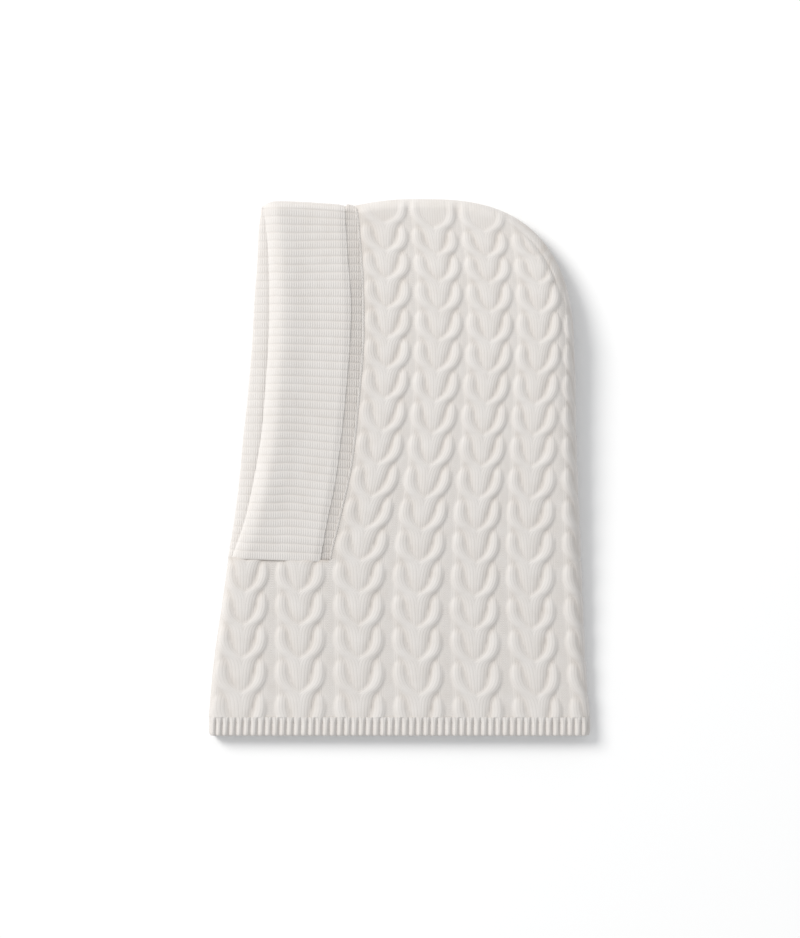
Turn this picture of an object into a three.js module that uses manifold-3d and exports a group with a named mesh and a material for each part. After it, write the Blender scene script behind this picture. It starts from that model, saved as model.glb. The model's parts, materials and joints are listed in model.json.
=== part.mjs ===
// A cable-knit hood, laid flat with its face opening to the left.
// Millimetres. X runs from the face to the back of the head, Y from the hem to the crown, Z up off the table.
// Places across are measured from the front corner of the hem, heights from the hem's lower edge.

import * as THREE from 'three';
import Module from 'manifold-3d';

const wasm = await Module();
wasm.setup();

// The hood as it lies
const hoodWidth = 290;
const hoodLength = 403;
const pieceGap = 0.3;
const hemTop = 14;
const bodyBottom = hemTop + pieceGap;
const notchHeight = 132;

// The knit
const wallThickness = 2.1;
const cableHeight = 3.2;
const groundOffTable = 1.1;
const crownFade = 7;
const crownFadeAtBack = 30;
const crownRound = 7;
const slopeStep = 0.4;

// Cable k is centred on column k. The front fold and the face seam run in the purl gaps between cables.
const frontFold = -1.5;
const firstCable = -1;
const seamColumn = 0.5;
const lastFlatCable = 4;
const backFold = 5;
const firstCrossing = 0;
const lastCrossing = 15;

// The curved crown seam: a quarter oval from the middle of the top edge to the back fold
const crown = { x: 156.75, height: 288, reach: 120, rise: 115, flatTop: 2.9, flatBack: 2.35 };
const topDip = 5;
const topDipReach = 43.5;

function table(columns, rows) {
  return rows.map((row) => Object.fromEntries(columns.map((name, i) => [name, row[i]])));
}

// Where the columns of the knit lie across the hood, up its height
const columnTable = table(
  ['height', 'seam', 'cable1', 'cable2', 'cable3', 'cable4', 'back'],
  [
    [14.25, 93.75, 115.5, 160.5, 204.75, 250.5, 287.5],
    [57, 93.5, 114.75, 159, 202.5, 247.5, 284.25],
    [102, 93.5, 115, 158.25, 201.75, 243.75, 282.25],
    [132, 93.75, 116.25, 160.5, 202.5, 243, 281],
    [162, 100.5, 120.75, 162, 203.25, 243, 279.75],
    [203, 109.5, 128.5, 167.25, 206.25, 244.5, 278],
    [252, 115, 134.25, 171, 209.25, 246.5, 276.75],
    [297, 118.5, 135.75, 174, 212.25, 249.5, 276.75],
    [342, 118, 135, 174.75, 211.5, 249, 276.75],
    [382, 115, 134, 171, 207.75, 244.5, 276.75],
    [403, 112.5, 133.5, 169.5, 206.25, 242.25, 276.75],
  ],
);

// The front of the neck, below the face opening
const neckTable = table(
  ['height', 'front', 'cableA', 'cableB', 'frontRound'],
  [
    [14.25, 2.5, 26.25, 71.25, 4],
    [57, 6.5, 27, 71.25, 4.5],
    [102, 13, 28.5, 70.5, 9],
    [132, 17.25, 30.5, 70, 11],
  ],
);

// How high the upper layer lies, how round the back fold is, and how many cable crossings lie below
const layTable = table(
  ['height', 'liftFront', 'liftBack', 'backRound', 'crossingsFront', 'crossingsBack', 'cableHalf'],
  [
    [14.25, 11.5, 12.5, 6.8, -0.73, -0.65, 0.397],
    [57, 12, 14, 8, 0.94, 1.06, 0.398],
    [102, 12.5, 16.5, 9.5, 2.76, 2.91, 0.4],
    [132, 13, 18.5, 11, 3.97, 4.03, 0.405],
    [162, 13.5, 20.5, 12, 5.22, 5.29, 0.41],
    [203, 14, 23, 13.5, 6.91, 7, 0.418],
    [252, 14.5, 25, 14.5, 8.91, 9.1, 0.426],
    [297, 14.5, 26, 15, 10.87, 11, 0.431],
    [342, 14, 25, 15, 12.9, 13, 0.431],
    [382, 13, 21, 15, 14.78, 15.1, 0.431],
    [403, 12, 18, 15, 15.8, 16.2, 0.431],
  ],
);

// The turned-back face band: its free edge on the body and its fold on the near and the far side
const bandTable = table(
  ['height', 'freeEdge', 'nearFold', 'farFold'],
  [
    [132, 86.25, 20, 17],
    [162, 91.5, 30, 21.75],
    [192, 97.5, 36.5, 25.5],
    [225, 102, 42, 28.5],
    [252, 105, 44.5, 31.5],
    [297, 108.75, 47.5, 35.25],
    [327, 109.5, 48, 36.75],
    [357, 107.25, 47.5, 39],
    [380, 105.75, 45.75, 40],
    [396, 105, 43.5, 42],
  ],
);
const bandLayer = 2.4;
const bandLayerGap = 0.6;
const bandRibPitch = 6.05;
const bandRibHeight = 0.5;
const bandStack = 2 * bandLayer + bandLayerGap;
const bandFoldReach = 2.6;
const bandTop = { height: 401.4, dip: 3.4, start: 52.5, reach: 58, power: 1.6 };
const bandTopSquash = 0.75;
const bandRibsOverTop = 4;

// The lower layer rises beside the face opening, where the far side of the band lies under it.
const bandBedRise = 12;
const bandBedReach = 16;

// The hem
const hemRibsPerSide = 54;
const hemRibHeight = 1.6;
const hemWall = 2.4;
const hemFlare = 0.006;

// One half of a horseshoe cable: a strand of stitches that leaves the outer edge below one crossing,
// swells, runs in to the centre line at the next, and goes on down the middle until it dips out of sight.
// fall counts crossings downwards; out and half are shares of the cable's half width, rise of its height.
const strandTable = table(
  ['fall', 'out', 'half', 'rise'],
  [
    [0, 0.89, 0.09, 0.4],
    [0.14, 0.86, 0.16, 0.72],
    [0.28, 0.855, 0.2, 0.92],
    [0.5, 0.83, 0.23, 1],
    [0.62, 0.795, 0.245, 1],
    [0.75, 0.715, 0.275, 1],
    [0.87, 0.585, 0.315, 1],
    [0.97, 0.4, 0.39, 0.98],
    [1, 0.34, 0.4, 0.96],
    [1.1, 0.22, 0.32, 0.92],
    [1.2, 0.15, 0.27, 0.88],
    [1.35, 0.11, 0.24, 0.82],
    [1.6, 0.09, 0.22, 0.7],
    [1.85, 0.07, 0.2, 0.55],
    [2, 0.05, 0.18, 0.4],
  ],
);
const strandLength = 2;
const topStrandStart = 0.3;

// Below the first crossing the strand runs on along the cable's edge to the hem.
const hemStrandTable = table(
  ['fall', 'out', 'half', 'rise'],
  [
    [0, 0.84, 0.16, 0.5],
    [2, 0.7, 0.44, 0.9],
  ],
);
const plainRise = 0.62;
const plainStart = 0.5;
const cableBase = 0.14;
const cableReach = 1.08;

function clamp(value, low, high) {
  return Math.min(Math.max(value, low), high);
}

function mix(a, b, share) {
  return a + (b - a) * share;
}

// Reads a column of a table at a place along its first column, on a smooth curve through the rows.
function read(rows, column, place, key = 'height') {
  const last = rows.length - 1;
  const at = clamp(place, rows[0][key], rows[last][key]);
  let i = 0;
  while (i < last - 1 && at > rows[i + 1][key]) {
    i += 1;
  }
  const slope = (k) => {
    const before = rows[Math.max(k - 1, 0)];
    const after = rows[Math.min(k + 1, last)];
    return (after[column] - before[column]) / (after[key] - before[key]);
  };
  const step = rows[i + 1][key] - rows[i][key];
  const t = (at - rows[i][key]) / step;
  const ease = t * t * (3 - 2 * t);
  const bend = t * (1 - t) * step * (slope(i) * (1 - t) - slope(i + 1) * t);
  return mix(rows[i][column], rows[i + 1][column], ease) + bend;
}

// Finds where a rising function reaches a value.
const halvings = 30;

function solve(rising, value, low, high) {
  let a = low;
  let b = high;
  for (let i = 0; i < halvings; i += 1) {
    const middle = (a + b) / 2;
    if (rising(middle) < value) {
      a = middle;
    } else {
      b = middle;
    }
  }
  return (a + b) / 2;
}

// Outline of the body: top edge above a place across, and back edge at a height
function topEdge(x, inset) {
  if (x < crown.x) {
    return crown.height + crown.rise - inset - topDip * ((crown.x - x) / topDipReach) ** 2;
  }
  const share = Math.min((x - crown.x) / (crown.reach - inset), 1);
  return crown.height + (crown.rise - inset) * (1 - share ** crown.flatTop) ** (1 / crown.flatBack);
}

function backEdge(height, inset) {
  if (height <= crown.height) {
    return read(columnTable, 'back', height) - inset;
  }
  const share = Math.min((height - crown.height) / (crown.rise - inset), 1);
  return crown.x + (crown.reach - inset) * (1 - share ** crown.flatBack) ** (1 / crown.flatTop);
}

// Place across of a column: even along the knit, so closer together where it turns over a fold.
function placeAcross(column, height, inset) {
  const at = (name) => read(columnTable, name, height);
  if (column > lastFlatCable) {
    const back = at('back') - inset;
    const round = read(layTable, 'backRound', height) - inset;
    const flat = back - round - at('cable4');
    const along = ((column - lastFlatCable) / (backFold - lastFlatCable)) * (flat + (round * Math.PI) / 2);
    return along <= flat ? at('cable4') + along : back - round * (1 - Math.sin((along - flat) / round));
  }
  const cableA = read(neckTable, 'cableA', height);
  if (column < firstCable) {
    const front = read(neckTable, 'front', height) + inset;
    const round = read(neckTable, 'frontRound', height) - inset;
    const flat = cableA - front - round;
    const along = ((firstCable - column) / (firstCable - frontFold)) * (flat + (round * Math.PI) / 2);
    return along <= flat ? cableA - along : front + round * (1 - Math.sin((along - flat) / round));
  }
  const stops = [
    { column: firstCable, x: cableA },
    { column: 0, x: read(neckTable, 'cableB', height) },
    { column: seamColumn, x: at('seam') },
    { column: 1, x: at('cable1') },
    { column: 2, x: at('cable2') },
    { column: 3, x: at('cable3') },
    { column: 4, x: at('cable4') },
  ];
  const i = stops.findIndex((stop, k) => k > 0 && column <= stop.column);
  const share = (column - stops[i - 1].column) / (stops[i].column - stops[i - 1].column);
  return mix(stops[i - 1].x, stops[i].x, share);
}

function quarterRound(share) {
  return Math.sqrt(1 - (1 - clamp(share, 0, 1)) ** 2);
}

// 0 on the hood's outline, 1 where the knit lies flat
function flatness(x, height, inset) {
  const acrossGap = Math.max(backEdge(height, inset) - x, 0);
  const upGap = Math.max(topEdge(x, inset) - height, 0);
  const both = Math.hypot(acrossGap, upGap);
  if (both === 0 || acrossGap === 0 || upGap === 0) {
    return 0;
  }
  const backRound = read(layTable, 'backRound', height) - inset;
  const round = (backRound * upGap + (crownRound - inset) * acrossGap) / (acrossGap + upGap);
  const atBack = quarterRound((acrossGap * upGap) / both / round);
  if (height > notchHeight) {
    return atBack;
  }
  const front = read(neckTable, 'front', height) + inset;
  return Math.min(atBack, quarterRound((x - front) / (read(neckTable, 'frontRound', height) - inset)));
}

// Height off the table of the purl ground of the upper or the lower layer, or of its inner face
function ground(side, x, height, inset) {
  const seam = read(columnTable, 'seam', height);
  const share = clamp(x / read(columnTable, 'back', height), 0, 1);
  const lift = mix(read(layTable, 'liftFront', height), read(layTable, 'liftBack', height), share);
  const aboveNotch = clamp((height - notchHeight) / bandBedRise, 0, 1);
  const overBand = aboveNotch * Math.exp(-(((x - seam) / bandBedReach) ** 2));
  const low = mix(groundOffTable, bandStack - bandLayer, overBand);
  const middle = (lift + low) / 2;
  const outer = side > 0 ? lift - inset : low + inset;
  return mix(middle, outer, flatness(x, height, inset));
}

function crossingsBelow(column, height) {
  const front = read(layTable, 'crossingsFront', height);
  const back = read(layTable, 'crossingsBack', height);
  const share = clamp((lastFlatCable - column) / (lastFlatCable - 1), 0, 1);
  return back - (back - front) * share ** 2;
}

// Relief of one strand, some crossings below where it starts
function strandRelief(u, crossing, fall) {
  const rows = crossing < firstCrossing ? hemStrandTable : strandTable;
  const place = crossing === lastCrossing ? Math.max(fall, topStrandStart) : fall;
  const [out, half, rise] = ['out', 'half', 'rise'].map((name) => read(rows, name, place, 'fall'));
  return rise * Math.sqrt(Math.max(1 - ((u - out) / half) ** 2, 0));
}

// Relief of the cables, as a share of their height, at a share of the half width from a cable's centre
function cableRelief(fromCentre, crossings) {
  const u = Math.abs(fromCentre);
  if (u >= cableReach) {
    return 0;
  }
  const bow = (power) => Math.sqrt(1 - Math.min(u, 1) ** power);
  let relief = cableBase * bow(4);
  const level = Math.floor(crossings);
  for (const crossing of [level, level + 1]) {
    const fall = crossing + 1 - crossings;
    if (crossing <= lastCrossing && fall <= strandLength) {
      relief = Math.max(relief, strandRelief(u, crossing, fall));
    }
  }
  const beyond = Math.max(crossings - lastCrossing, firstCrossing - crossings);
  if (beyond > 0) {
    relief = Math.max(relief, plainRise * bow(3) * Math.min(plainStart + beyond, 1));
  }
  return relief;
}

// A point on the outer face of the knit. side is 1 on the upper layer and -1 on the lower one.
function knitPoint(side, column, height) {
  const x = placeAcross(column, height, 0);
  const z = ground(side, x, height, 0);
  const fromCentre = (column - Math.round(column)) / read(layTable, 'cableHalf', height);
  const towardsBack = clamp((x - crown.x) / crown.reach, 0, 1);
  const fadeLength = mix(crownFade, crownFadeAtBack, towardsBack ** 4);
  const fade = clamp((topEdge(x, 0) - height) / fadeLength, 0, 1);
  const raise = cableHeight * fade * cableRelief(fromCentre, crossingsBelow(column, height));
  const rise = (acrossStep, upStep) => {
    const ahead = ground(side, x + acrossStep, height + upStep, 0);
    return (ahead - ground(side, x - acrossStep, height - upStep, 0)) / (2 * slopeStep);
  };
  const outward = new THREE.Vector3(column > seamColumn ? 1 : -1, 0, 0);
  if (column !== frontFold && column !== backFold) {
    outward.set(-rise(slopeStep, 0), -rise(0, slopeStep), 1).multiplyScalar(side).normalize();
  }
  const point = new THREE.Vector3(x, height, z).addScaledVector(outward, raise);
  point.z = Math.max(point.z, 0);
  return point;
}

// A point on the outline, where the two layers meet
function edgePoint(column, height, inset) {
  const x = placeAcross(column, height, inset);
  const middle = (ground(1, x, height, inset) + ground(-1, x, height, inset)) / 2;
  return new THREE.Vector3(x, height, middle);
}

// Collects triangles on shared points and makes them one closed solid.
class Skin {
  points = [];
  faces = [];
  known = new Map();

  point(place) {
    const key = [place.x, place.y, place.z].map((value) => value.toFixed(3)).join(' ');
    if (!this.known.has(key)) {
      this.known.set(key, this.points.length);
      this.points.push(place);
    }
    return this.known.get(key);
  }

  triangle(a, b, c) {
    if (a !== b && b !== c && c !== a) {
      this.faces.push(a, b, c);
    }
  }

  // A four-cornered face, split along its shorter diagonal
  quad(...corners) {
    const [a, b, c, d] = corners.map((place) => this.point(place));
    if (corners[0].distanceTo(corners[2]) <= corners[1].distanceTo(corners[3])) {
      this.triangle(a, b, c);
      this.triangle(a, c, d);
    } else {
      this.triangle(a, b, d);
      this.triangle(b, c, d);
    }
  }

  // Faces between neighbouring lines of a grid of points; turn them over for the lower layer
  sheet(lines, turned) {
    for (let i = 0; i + 1 < lines.length; i += 1) {
      for (let j = 0; j + 1 < lines[i].length; j += 1) {
        const corners = [lines[i][j], lines[i + 1][j], lines[i + 1][j + 1], lines[i][j + 1]];
        this.quad(...(turned ? corners.reverse() : corners));
      }
    }
  }

  solid() {
    const vertProperties = new Float32Array(this.points.flatMap((place) => place.toArray()));
    const triVerts = new Uint32Array(this.faces);
    return new wasm.Manifold(new wasm.Mesh({ numProp: 3, vertProperties, triVerts }));
  }
}

function geometryOf(solid) {
  const mesh = solid.getMesh();
  const geometry = new THREE.BufferGeometry();
  geometry.setAttribute('position', new THREE.BufferAttribute(mesh.vertProperties, 3));
  geometry.setIndex(new THREE.BufferAttribute(mesh.triVerts, 1));
  geometry.translate(-hoodWidth / 2, -hoodLength / 2, 0);
  geometry.computeVertexNormals();
  return geometry;
}

// Body

// Lines of the body's grid: five on each cable and one in each gap, from the front fold to the back fold.
// The rows climb away from each cable's centre, as its strands do.
const cableOffsets = [-0.9, -0.45, 0, 0.45, 0.9];
const rowsPerCrossing = 3;
const rowClimb = 0.8;
const rowClimbInGap = 0.65;
const topCrossing = 17;
const shoulder = 3.5;
const lowestCrown = 200;

function bodyLines() {
  const lines = [{ cable: frontFold, offset: 0 }];
  for (let cable = firstCable; cable <= backFold; cable += 1) {
    for (const offset of cableOffsets) {
      if (cable < backFold || offset <= 0) {
        lines.push({ cable, offset });
      }
    }
    if (cable < backFold) {
      lines.push({ cable: cable + 0.5, offset: 0 });
    }
  }
  return lines;
}

function columnOf(line, height) {
  return line.cable + line.offset * read(layTable, 'cableHalf', height);
}

// Where a line meets the top edge
function crownHeight(line, inset) {
  const below = (height) => height - topEdge(placeAcross(columnOf(line, height), height, inset), inset);
  return solve(below, 0, lowestCrown, hoodLength);
}

// Heights of a line's grid points, from a low edge to a high one, with a row just below the high one
function rowHeights(line, low, high, edgeRow) {
  const isGap = line.offset === 0 && !Number.isInteger(line.cable);
  const climb = isGap ? rowClimbInGap : rowClimb * line.offset ** 2;
  const shoulderHeight = Math.max(high - edgeRow, low);
  const heights = [low];
  for (let row = -rowsPerCrossing; row <= topCrossing * rowsPerCrossing; row += 1) {
    const crossings = row / rowsPerCrossing + climb;
    const rise = (height) => crossingsBelow(columnOf(line, height), height);
    heights.push(clamp(solve(rise, crossings, 0, hoodLength), low, shoulderHeight));
  }
  heights.push(high);
  return heights;
}

function gridPoints(side, lines, heightsOf) {
  return lines.map((line) => {
    const pointAt = (height) => knitPoint(side, columnOf(line, height), height);
    return heightsOf(line).map(pointAt);
  });
}

function closeTop(lines, points) {
  points.forEach((line, i) => {
    const height = line[line.length - 1].y;
    line[line.length - 1] = edgePoint(columnOf(lines[i], height), height, 0);
  });
  return points;
}

function bodyOutside() {
  const lines = bodyLines();
  const seam = lines.findIndex((line) => line.cable === seamColumn);
  const neckHeights = (line) => rowHeights(line, bodyBottom, notchHeight, 0);
  const headHeights = (line) => rowHeights(line, notchHeight, crownHeight(line, 0), shoulder);
  const neck = [1, -1].map((side) => gridPoints(side, lines, neckHeights));
  const headLines = lines.slice(seam);
  const head = [1, -1].map((side) => closeTop(headLines, gridPoints(side, headLines, headHeights)));
  const skin = new Skin();
  for (const [upper, lower] of [neck, head]) {
    skin.sheet(upper, false);
    skin.sheet(lower, true);
  }
  const [upperNeck, lowerNeck] = neck;
  for (let i = 0; i + 1 < lines.length; i += 1) {
    skin.quad(upperNeck[i][0], lowerNeck[i][0], lowerNeck[i + 1][0], upperNeck[i + 1][0]);
    if (i < seam) {
      const ends = [upperNeck[i], upperNeck[i + 1], lowerNeck[i + 1], lowerNeck[i]];
      skin.quad(...ends.map((line) => line[line.length - 1]));
    }
  }
  const [upperSeam, lowerSeam] = [head[0][0], head[1][0]];
  for (let j = 0; j + 1 < upperSeam.length; j += 1) {
    skin.quad(upperSeam[j], upperSeam[j + 1], lowerSeam[j + 1], lowerSeam[j]);
  }
  return skin.solid();
}

// How far the rooms run past the openings and into each other
const openingReach = 5;
const roomOverlap = 0.2;
const crownStep = 1;

// The room between the two layers over some columns and levels, closed at both ends, or up to the crown
function hollow(columns, levels, reachesCrown) {
  const layer = (side) => columns.map((cable) => {
    const top = reachesCrown ? crownHeight({ cable, offset: 0 }, wallThickness) : hoodLength;
    const onFold = cable === frontFold || cable === backFold;
    const points = levels.map((level) => {
      const height = Math.min(level, top - crownStep);
      const x = placeAcross(cable, height, wallThickness);
      const place = new THREE.Vector3(x, height, ground(side, x, height, wallThickness));
      return onFold ? edgePoint(cable, height, wallThickness) : place;
    });
    return reachesCrown ? [...points, edgePoint(cable, top, wallThickness)] : points;
  });
  const [upper, lower] = [layer(1), layer(-1)];
  const skin = new Skin();
  skin.sheet(upper, false);
  skin.sheet(lower, true);
  const last = levels.length - 1;
  for (let i = 0; i + 1 < columns.length; i += 1) {
    skin.quad(upper[i][0], lower[i][0], lower[i + 1][0], upper[i + 1][0]);
    if (!reachesCrown) {
      skin.quad(upper[i][last], upper[i + 1][last], lower[i + 1][last], lower[i][last]);
    }
  }
  if (reachesCrown) {
    for (let j = 0; j <= last; j += 1) {
      skin.quad(upper[0][j], upper[0][j + 1], lower[0][j + 1], lower[0][j]);
    }
  }
  return skin.solid();
}

// The neck's room runs out past the hem and into the head's, which runs out through the face opening.
function bodyHollow() {
  const backColumns = [1, 2, 3, lastFlatCable, 4.4, 4.6, 4.8, backFold];
  const neckColumns = [frontFold, -1.3, firstCable, 0, seamColumn, ...backColumns];
  const neckLevels = [bodyBottom - openingReach, 57, 102, notchHeight, notchHeight + openingReach];
  const headLevels = [notchHeight - openingReach, 165, 203, 252, 290, 315, 337, 357, 374, 388];
  const neck = hollow(neckColumns, neckLevels, false);
  const head = hollow([seamColumn - roomOverlap, seamColumn, ...backColumns], headLevels, true);
  return neck.add(head);
}

function makeBody() {
  return geometryOf(bodyOutside().subtract(bodyHollow()));
}

// Face band

// Heights off the table of the band's inner face, next to the wearer, on the two sides
const farInnerFace = bandStack;

function nearInnerFace(height) {
  return read(layTable, 'liftFront', height) - wallThickness;
}

function bandTopAt(x) {
  const share = Math.max((x - bandTop.start) / bandTop.reach, 0);
  return bandTop.height - bandTop.dip * share ** bandTop.power;
}

// Section of the doubled band at a place along it, as places across and distances out from its inner face
function bandSection(height, foldName, groove) {
  const seam = read(columnTable, 'seam', height) - pieceGap;
  const freeEdge = read(bandTable, 'freeEdge', height);
  const fold = read(bandTable, foldName, height);
  const face = bandStack - groove * bandRibHeight;
  return [
    { x: freeEdge, out: face },
    { x: fold + bandFoldReach, out: face },
    { x: fold + groove * bandRibHeight, out: bandStack / 2 },
    { x: fold + bandFoldReach, out: 0 },
    { x: seam, out: 0 },
    { x: seam, out: bandLayer },
    { x: fold + 2 * bandFoldReach, out: bandStack / 2 },
    { x: freeEdge, out: bandLayer + bandLayerGap },
  ];
}

// Even steps up the near side, over the top of the head and down the far side, on each rib and each groove
function bandStations() {
  const endHeight = notchHeight + pieceGap;
  const reach = (nearInnerFace(bandTop.height) - farInnerFace) / 2 + bandStack;
  const turnStart = bandTop.height - bandTopSquash * reach;
  const straight = 2 * Math.round((turnStart - endHeight) / bandRibPitch);
  const over = 2 * bandRibsOverTop;
  return Array.from({ length: 2 * straight + over + 1 }, (unused, i) => {
    const up = Math.min(i, 2 * straight + over - i, straight) / straight;
    const turn = Math.PI * clamp((i - straight) / over, 0, 1);
    return { height: mix(endHeight, turnStart, up), up, turn, groove: i % 2 };
  });
}

function bandPoints(station) {
  const { height, up, turn, groove } = station;
  const far = bandSection(height, 'farFold', groove);
  const middle = (nearInnerFace(height) + farInnerFace) / 2;
  const halfRoom = (nearInnerFace(height) - farInnerFace) / 2;
  return bandSection(height, 'nearFold', groove).map((point, k) => {
    const x = mix(far[k].x, point.x, (1 + Math.cos(turn)) / 2);
    const reach = halfRoom + point.out;
    const y = height - (bandTop.height - bandTopAt(x)) * up + bandTopSquash * reach * Math.sin(turn);
    return new THREE.Vector3(x, y, middle + reach * Math.cos(turn));
  });
}

function makeBand() {
  const stations = bandStations().map(bandPoints);
  const skin = new Skin();
  const count = stations[0].length;
  for (let i = 0; i + 1 < stations.length; i += 1) {
    for (let k = 0; k < count; k += 1) {
      const next = (k + 1) % count;
      skin.quad(stations[i][k], stations[i + 1][k], stations[i + 1][next], stations[i][next]);
    }
  }
  for (const end of [stations[0], stations[stations.length - 1].reverse()]) {
    const ids = end.map((place) => skin.point(place));
    const outline = end.map((place) => new THREE.Vector2(place.x, place.z));
    for (const [a, b, c] of THREE.ShapeUtils.triangulateShape(outline, [])) {
      skin.triangle(ids[a], ids[b], ids[c]);
    }
  }
  return geometryOf(skin.solid());
}

// Hem

const hemSamples = 400;
const tangentStep = 1;

// Even places round the neck's lower edge, with the way out at each
function hemLoop(count) {
  const loop = [];
  for (const side of [1, -1]) {
    for (let i = 0; i < hemSamples; i += 1) {
      const share = side > 0 ? i / hemSamples : 1 - i / hemSamples;
      const x = placeAcross(mix(frontFold, backFold, share), bodyBottom, 0);
      loop.push(new THREE.Vector2(x, ground(side, x, bodyBottom, 0)));
    }
  }
  const lengths = [0];
  loop.forEach((place, i) => lengths.push(lengths[i] + place.distanceTo(loop[(i + 1) % loop.length])));
  const total = lengths[loop.length];
  const along = (distance) => {
    const wanted = (distance + total) % total;
    const i = lengths.findIndex((length) => length > wanted) - 1;
    const share = (wanted - lengths[i]) / (lengths[i + 1] - lengths[i]);
    return loop[i].clone().lerp(loop[(i + 1) % loop.length], share);
  };
  return Array.from({ length: count }, (unused, i) => {
    const distance = (i * total) / count;
    const place = along(distance);
    const tangent = along(distance + tangentStep).sub(along(distance - tangentStep)).normalize();
    return { place, outward: new THREE.Vector2(-tangent.y, tangent.x) };
  });
}

function makeHem() {
  const middle = hoodWidth / 2;
  const loop = hemLoop(4 * hemRibsPerSide);
  const count = loop.length;
  const ring = (height, outAt) => loop.map((station, i) => {
    const flare = 1 + hemFlare * (1 - height / hemTop);
    const place = station.place.clone().addScaledVector(station.outward, outAt(i));
    return new THREE.Vector3(middle + (place.x - middle) * flare, height, Math.max(place.y, 0));
  });
  const ribOut = (i) => (i % 2 === 0 ? hemRibHeight : 0);
  const [outerTop, outerFoot] = [hemTop, 0].map((height) => ring(height, ribOut));
  const [innerTop, innerFoot] = [hemTop, 0].map((height) => ring(height, () => -hemWall));
  const skin = new Skin();
  const face = (a, b, c) => skin.triangle(skin.point(a), skin.point(b), skin.point(c));
  for (let i = 0; i < count; i += 2) {
    const groove = i + 1;
    const next = (i + 2) % count;
    skin.quad(outerTop[groove], outerTop[i], outerFoot[i], outerFoot[groove]);
    skin.quad(outerTop[next], outerTop[groove], outerFoot[groove], outerFoot[next]);
    skin.quad(innerTop[i], innerTop[next], innerFoot[next], innerFoot[i]);
    face(innerTop[i], outerTop[i], outerTop[groove]);
    face(innerTop[i], outerTop[groove], innerTop[next]);
    face(innerTop[next], outerTop[groove], outerTop[next]);
    face(innerFoot[i], outerFoot[groove], outerFoot[i]);
    face(innerFoot[i], innerFoot[next], outerFoot[groove]);
    face(innerFoot[next], outerFoot[next], outerFoot[groove]);
  }
  return geometryOf(skin.solid());
}

const bodyKnit = new THREE.MeshStandardMaterial({ color: 0xe9e4de, roughness: 0.95, metalness: 0 });
const bandKnit = new THREE.MeshStandardMaterial({ color: 0xe7e2dc, roughness: 0.95, metalness: 0 });
const hemKnit = new THREE.MeshStandardMaterial({ color: 0xe8e3dd, roughness: 0.95, metalness: 0 });

function piece(name, geometry, material) {
  const mesh = new THREE.Mesh(geometry, material);
  mesh.name = name;
  return mesh;
}

const hood = new THREE.Group();
hood.name = 'knit_hood';
hood.add(piece('hood_body', makeBody(), bodyKnit));
hood.add(piece('face_band', makeBand(), bandKnit));
hood.add(piece('hem_rib', makeHem(), hemKnit));

export default hood;
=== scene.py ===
"""Cable-knit hood laid flat on a pale table, seen from straight above, in soft studio light.

Lengths are millimetres where nothing else is said. Places across are measured from the front corner of the
hem, heights from the hem's lower edge. to_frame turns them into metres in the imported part's frame.
"""

import json
import math

import bmesh
import bpy
import numpy as np
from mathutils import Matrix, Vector
from mathutils.geometry import tessellate_polygon

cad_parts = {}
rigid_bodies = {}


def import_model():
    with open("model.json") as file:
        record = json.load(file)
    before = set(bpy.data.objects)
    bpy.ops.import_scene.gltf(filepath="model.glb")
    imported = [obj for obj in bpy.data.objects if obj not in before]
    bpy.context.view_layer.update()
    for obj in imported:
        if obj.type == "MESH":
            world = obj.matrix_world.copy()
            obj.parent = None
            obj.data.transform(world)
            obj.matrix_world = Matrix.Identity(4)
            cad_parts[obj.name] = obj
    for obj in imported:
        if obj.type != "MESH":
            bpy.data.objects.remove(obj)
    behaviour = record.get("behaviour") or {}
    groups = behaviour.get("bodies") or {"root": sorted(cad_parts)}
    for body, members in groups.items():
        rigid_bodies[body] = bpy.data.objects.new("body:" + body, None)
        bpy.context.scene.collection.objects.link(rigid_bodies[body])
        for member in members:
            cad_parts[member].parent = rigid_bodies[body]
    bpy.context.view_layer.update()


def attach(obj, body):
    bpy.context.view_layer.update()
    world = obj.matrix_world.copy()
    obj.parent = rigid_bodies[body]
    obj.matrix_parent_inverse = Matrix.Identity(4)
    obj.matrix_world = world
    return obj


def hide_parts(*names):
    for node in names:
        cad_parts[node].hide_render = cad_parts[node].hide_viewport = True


bl_info = {
    "name": "Knit Hood",
    "version": (1, 0, 0),
    "blender": (4, 5, 0),
    "location": "View3D > Sidebar > Knit Hood",
    "description": "Builds a cable-knit hood with a turned-back face band on its packed frame",
    "category": "Object",
}

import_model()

# The hood as it lies
HOOD_WIDTH = 290.0
HOOD_LENGTH = 403.0
PIECE_GAP = 0.3
SEAM_GAP = 0.05
HEM_TOP = 14.0
BODY_BOTTOM = HEM_TOP + 0.03
GROUND_OFF_TABLE = 1.1

# The upper layer's cut below the face opening, and how flat the end of the band presses the cables there
NOTCH_HEIGHT = 132.0
NOTCH_CLIMB = 0.027
NOTCH_PRESSED = 1.6
LEAST_PRESSED = 0.5

# The room that the lower layer leaves for the band folded under it
BAND_BED_RISE = 12.0
BAND_BED_REACH = 16.0

# How the layers turn over at the crown, how the cables fade there, and where its height is looked for
CROWN_ROUND = 7.0
CROWN_FADE = 7.0
CROWN_FADE_AT_BACK = 30.0
LOWEST_CROWN = 200.0
CROWN_HALVINGS = 40

# The ground's slope is measured over a short step, and eased where it is steep.
SLOPE_STEP = 0.4
STEEPEST_SLOPE = 0.7

# Each cable stands a little more or less proud from place to place, in two crossing waves: how fast each
# runs for a column across and for a millimetre up.
LIVELY_SHARE = 0.07
LIVELY_WAVES = ((5.1, 0.083), (2.7, 0.31))

# Cable k is centred on column k. The front fold and the face seam run in the purl gaps between cables.
FRONT_FOLD = -1.5
FIRST_CABLE = -1
SEAM_COLUMN = 0.5
LAST_FLAT_CABLE = 4
BACK_FOLD = 5
LAST_CROSSING = 15

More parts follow.
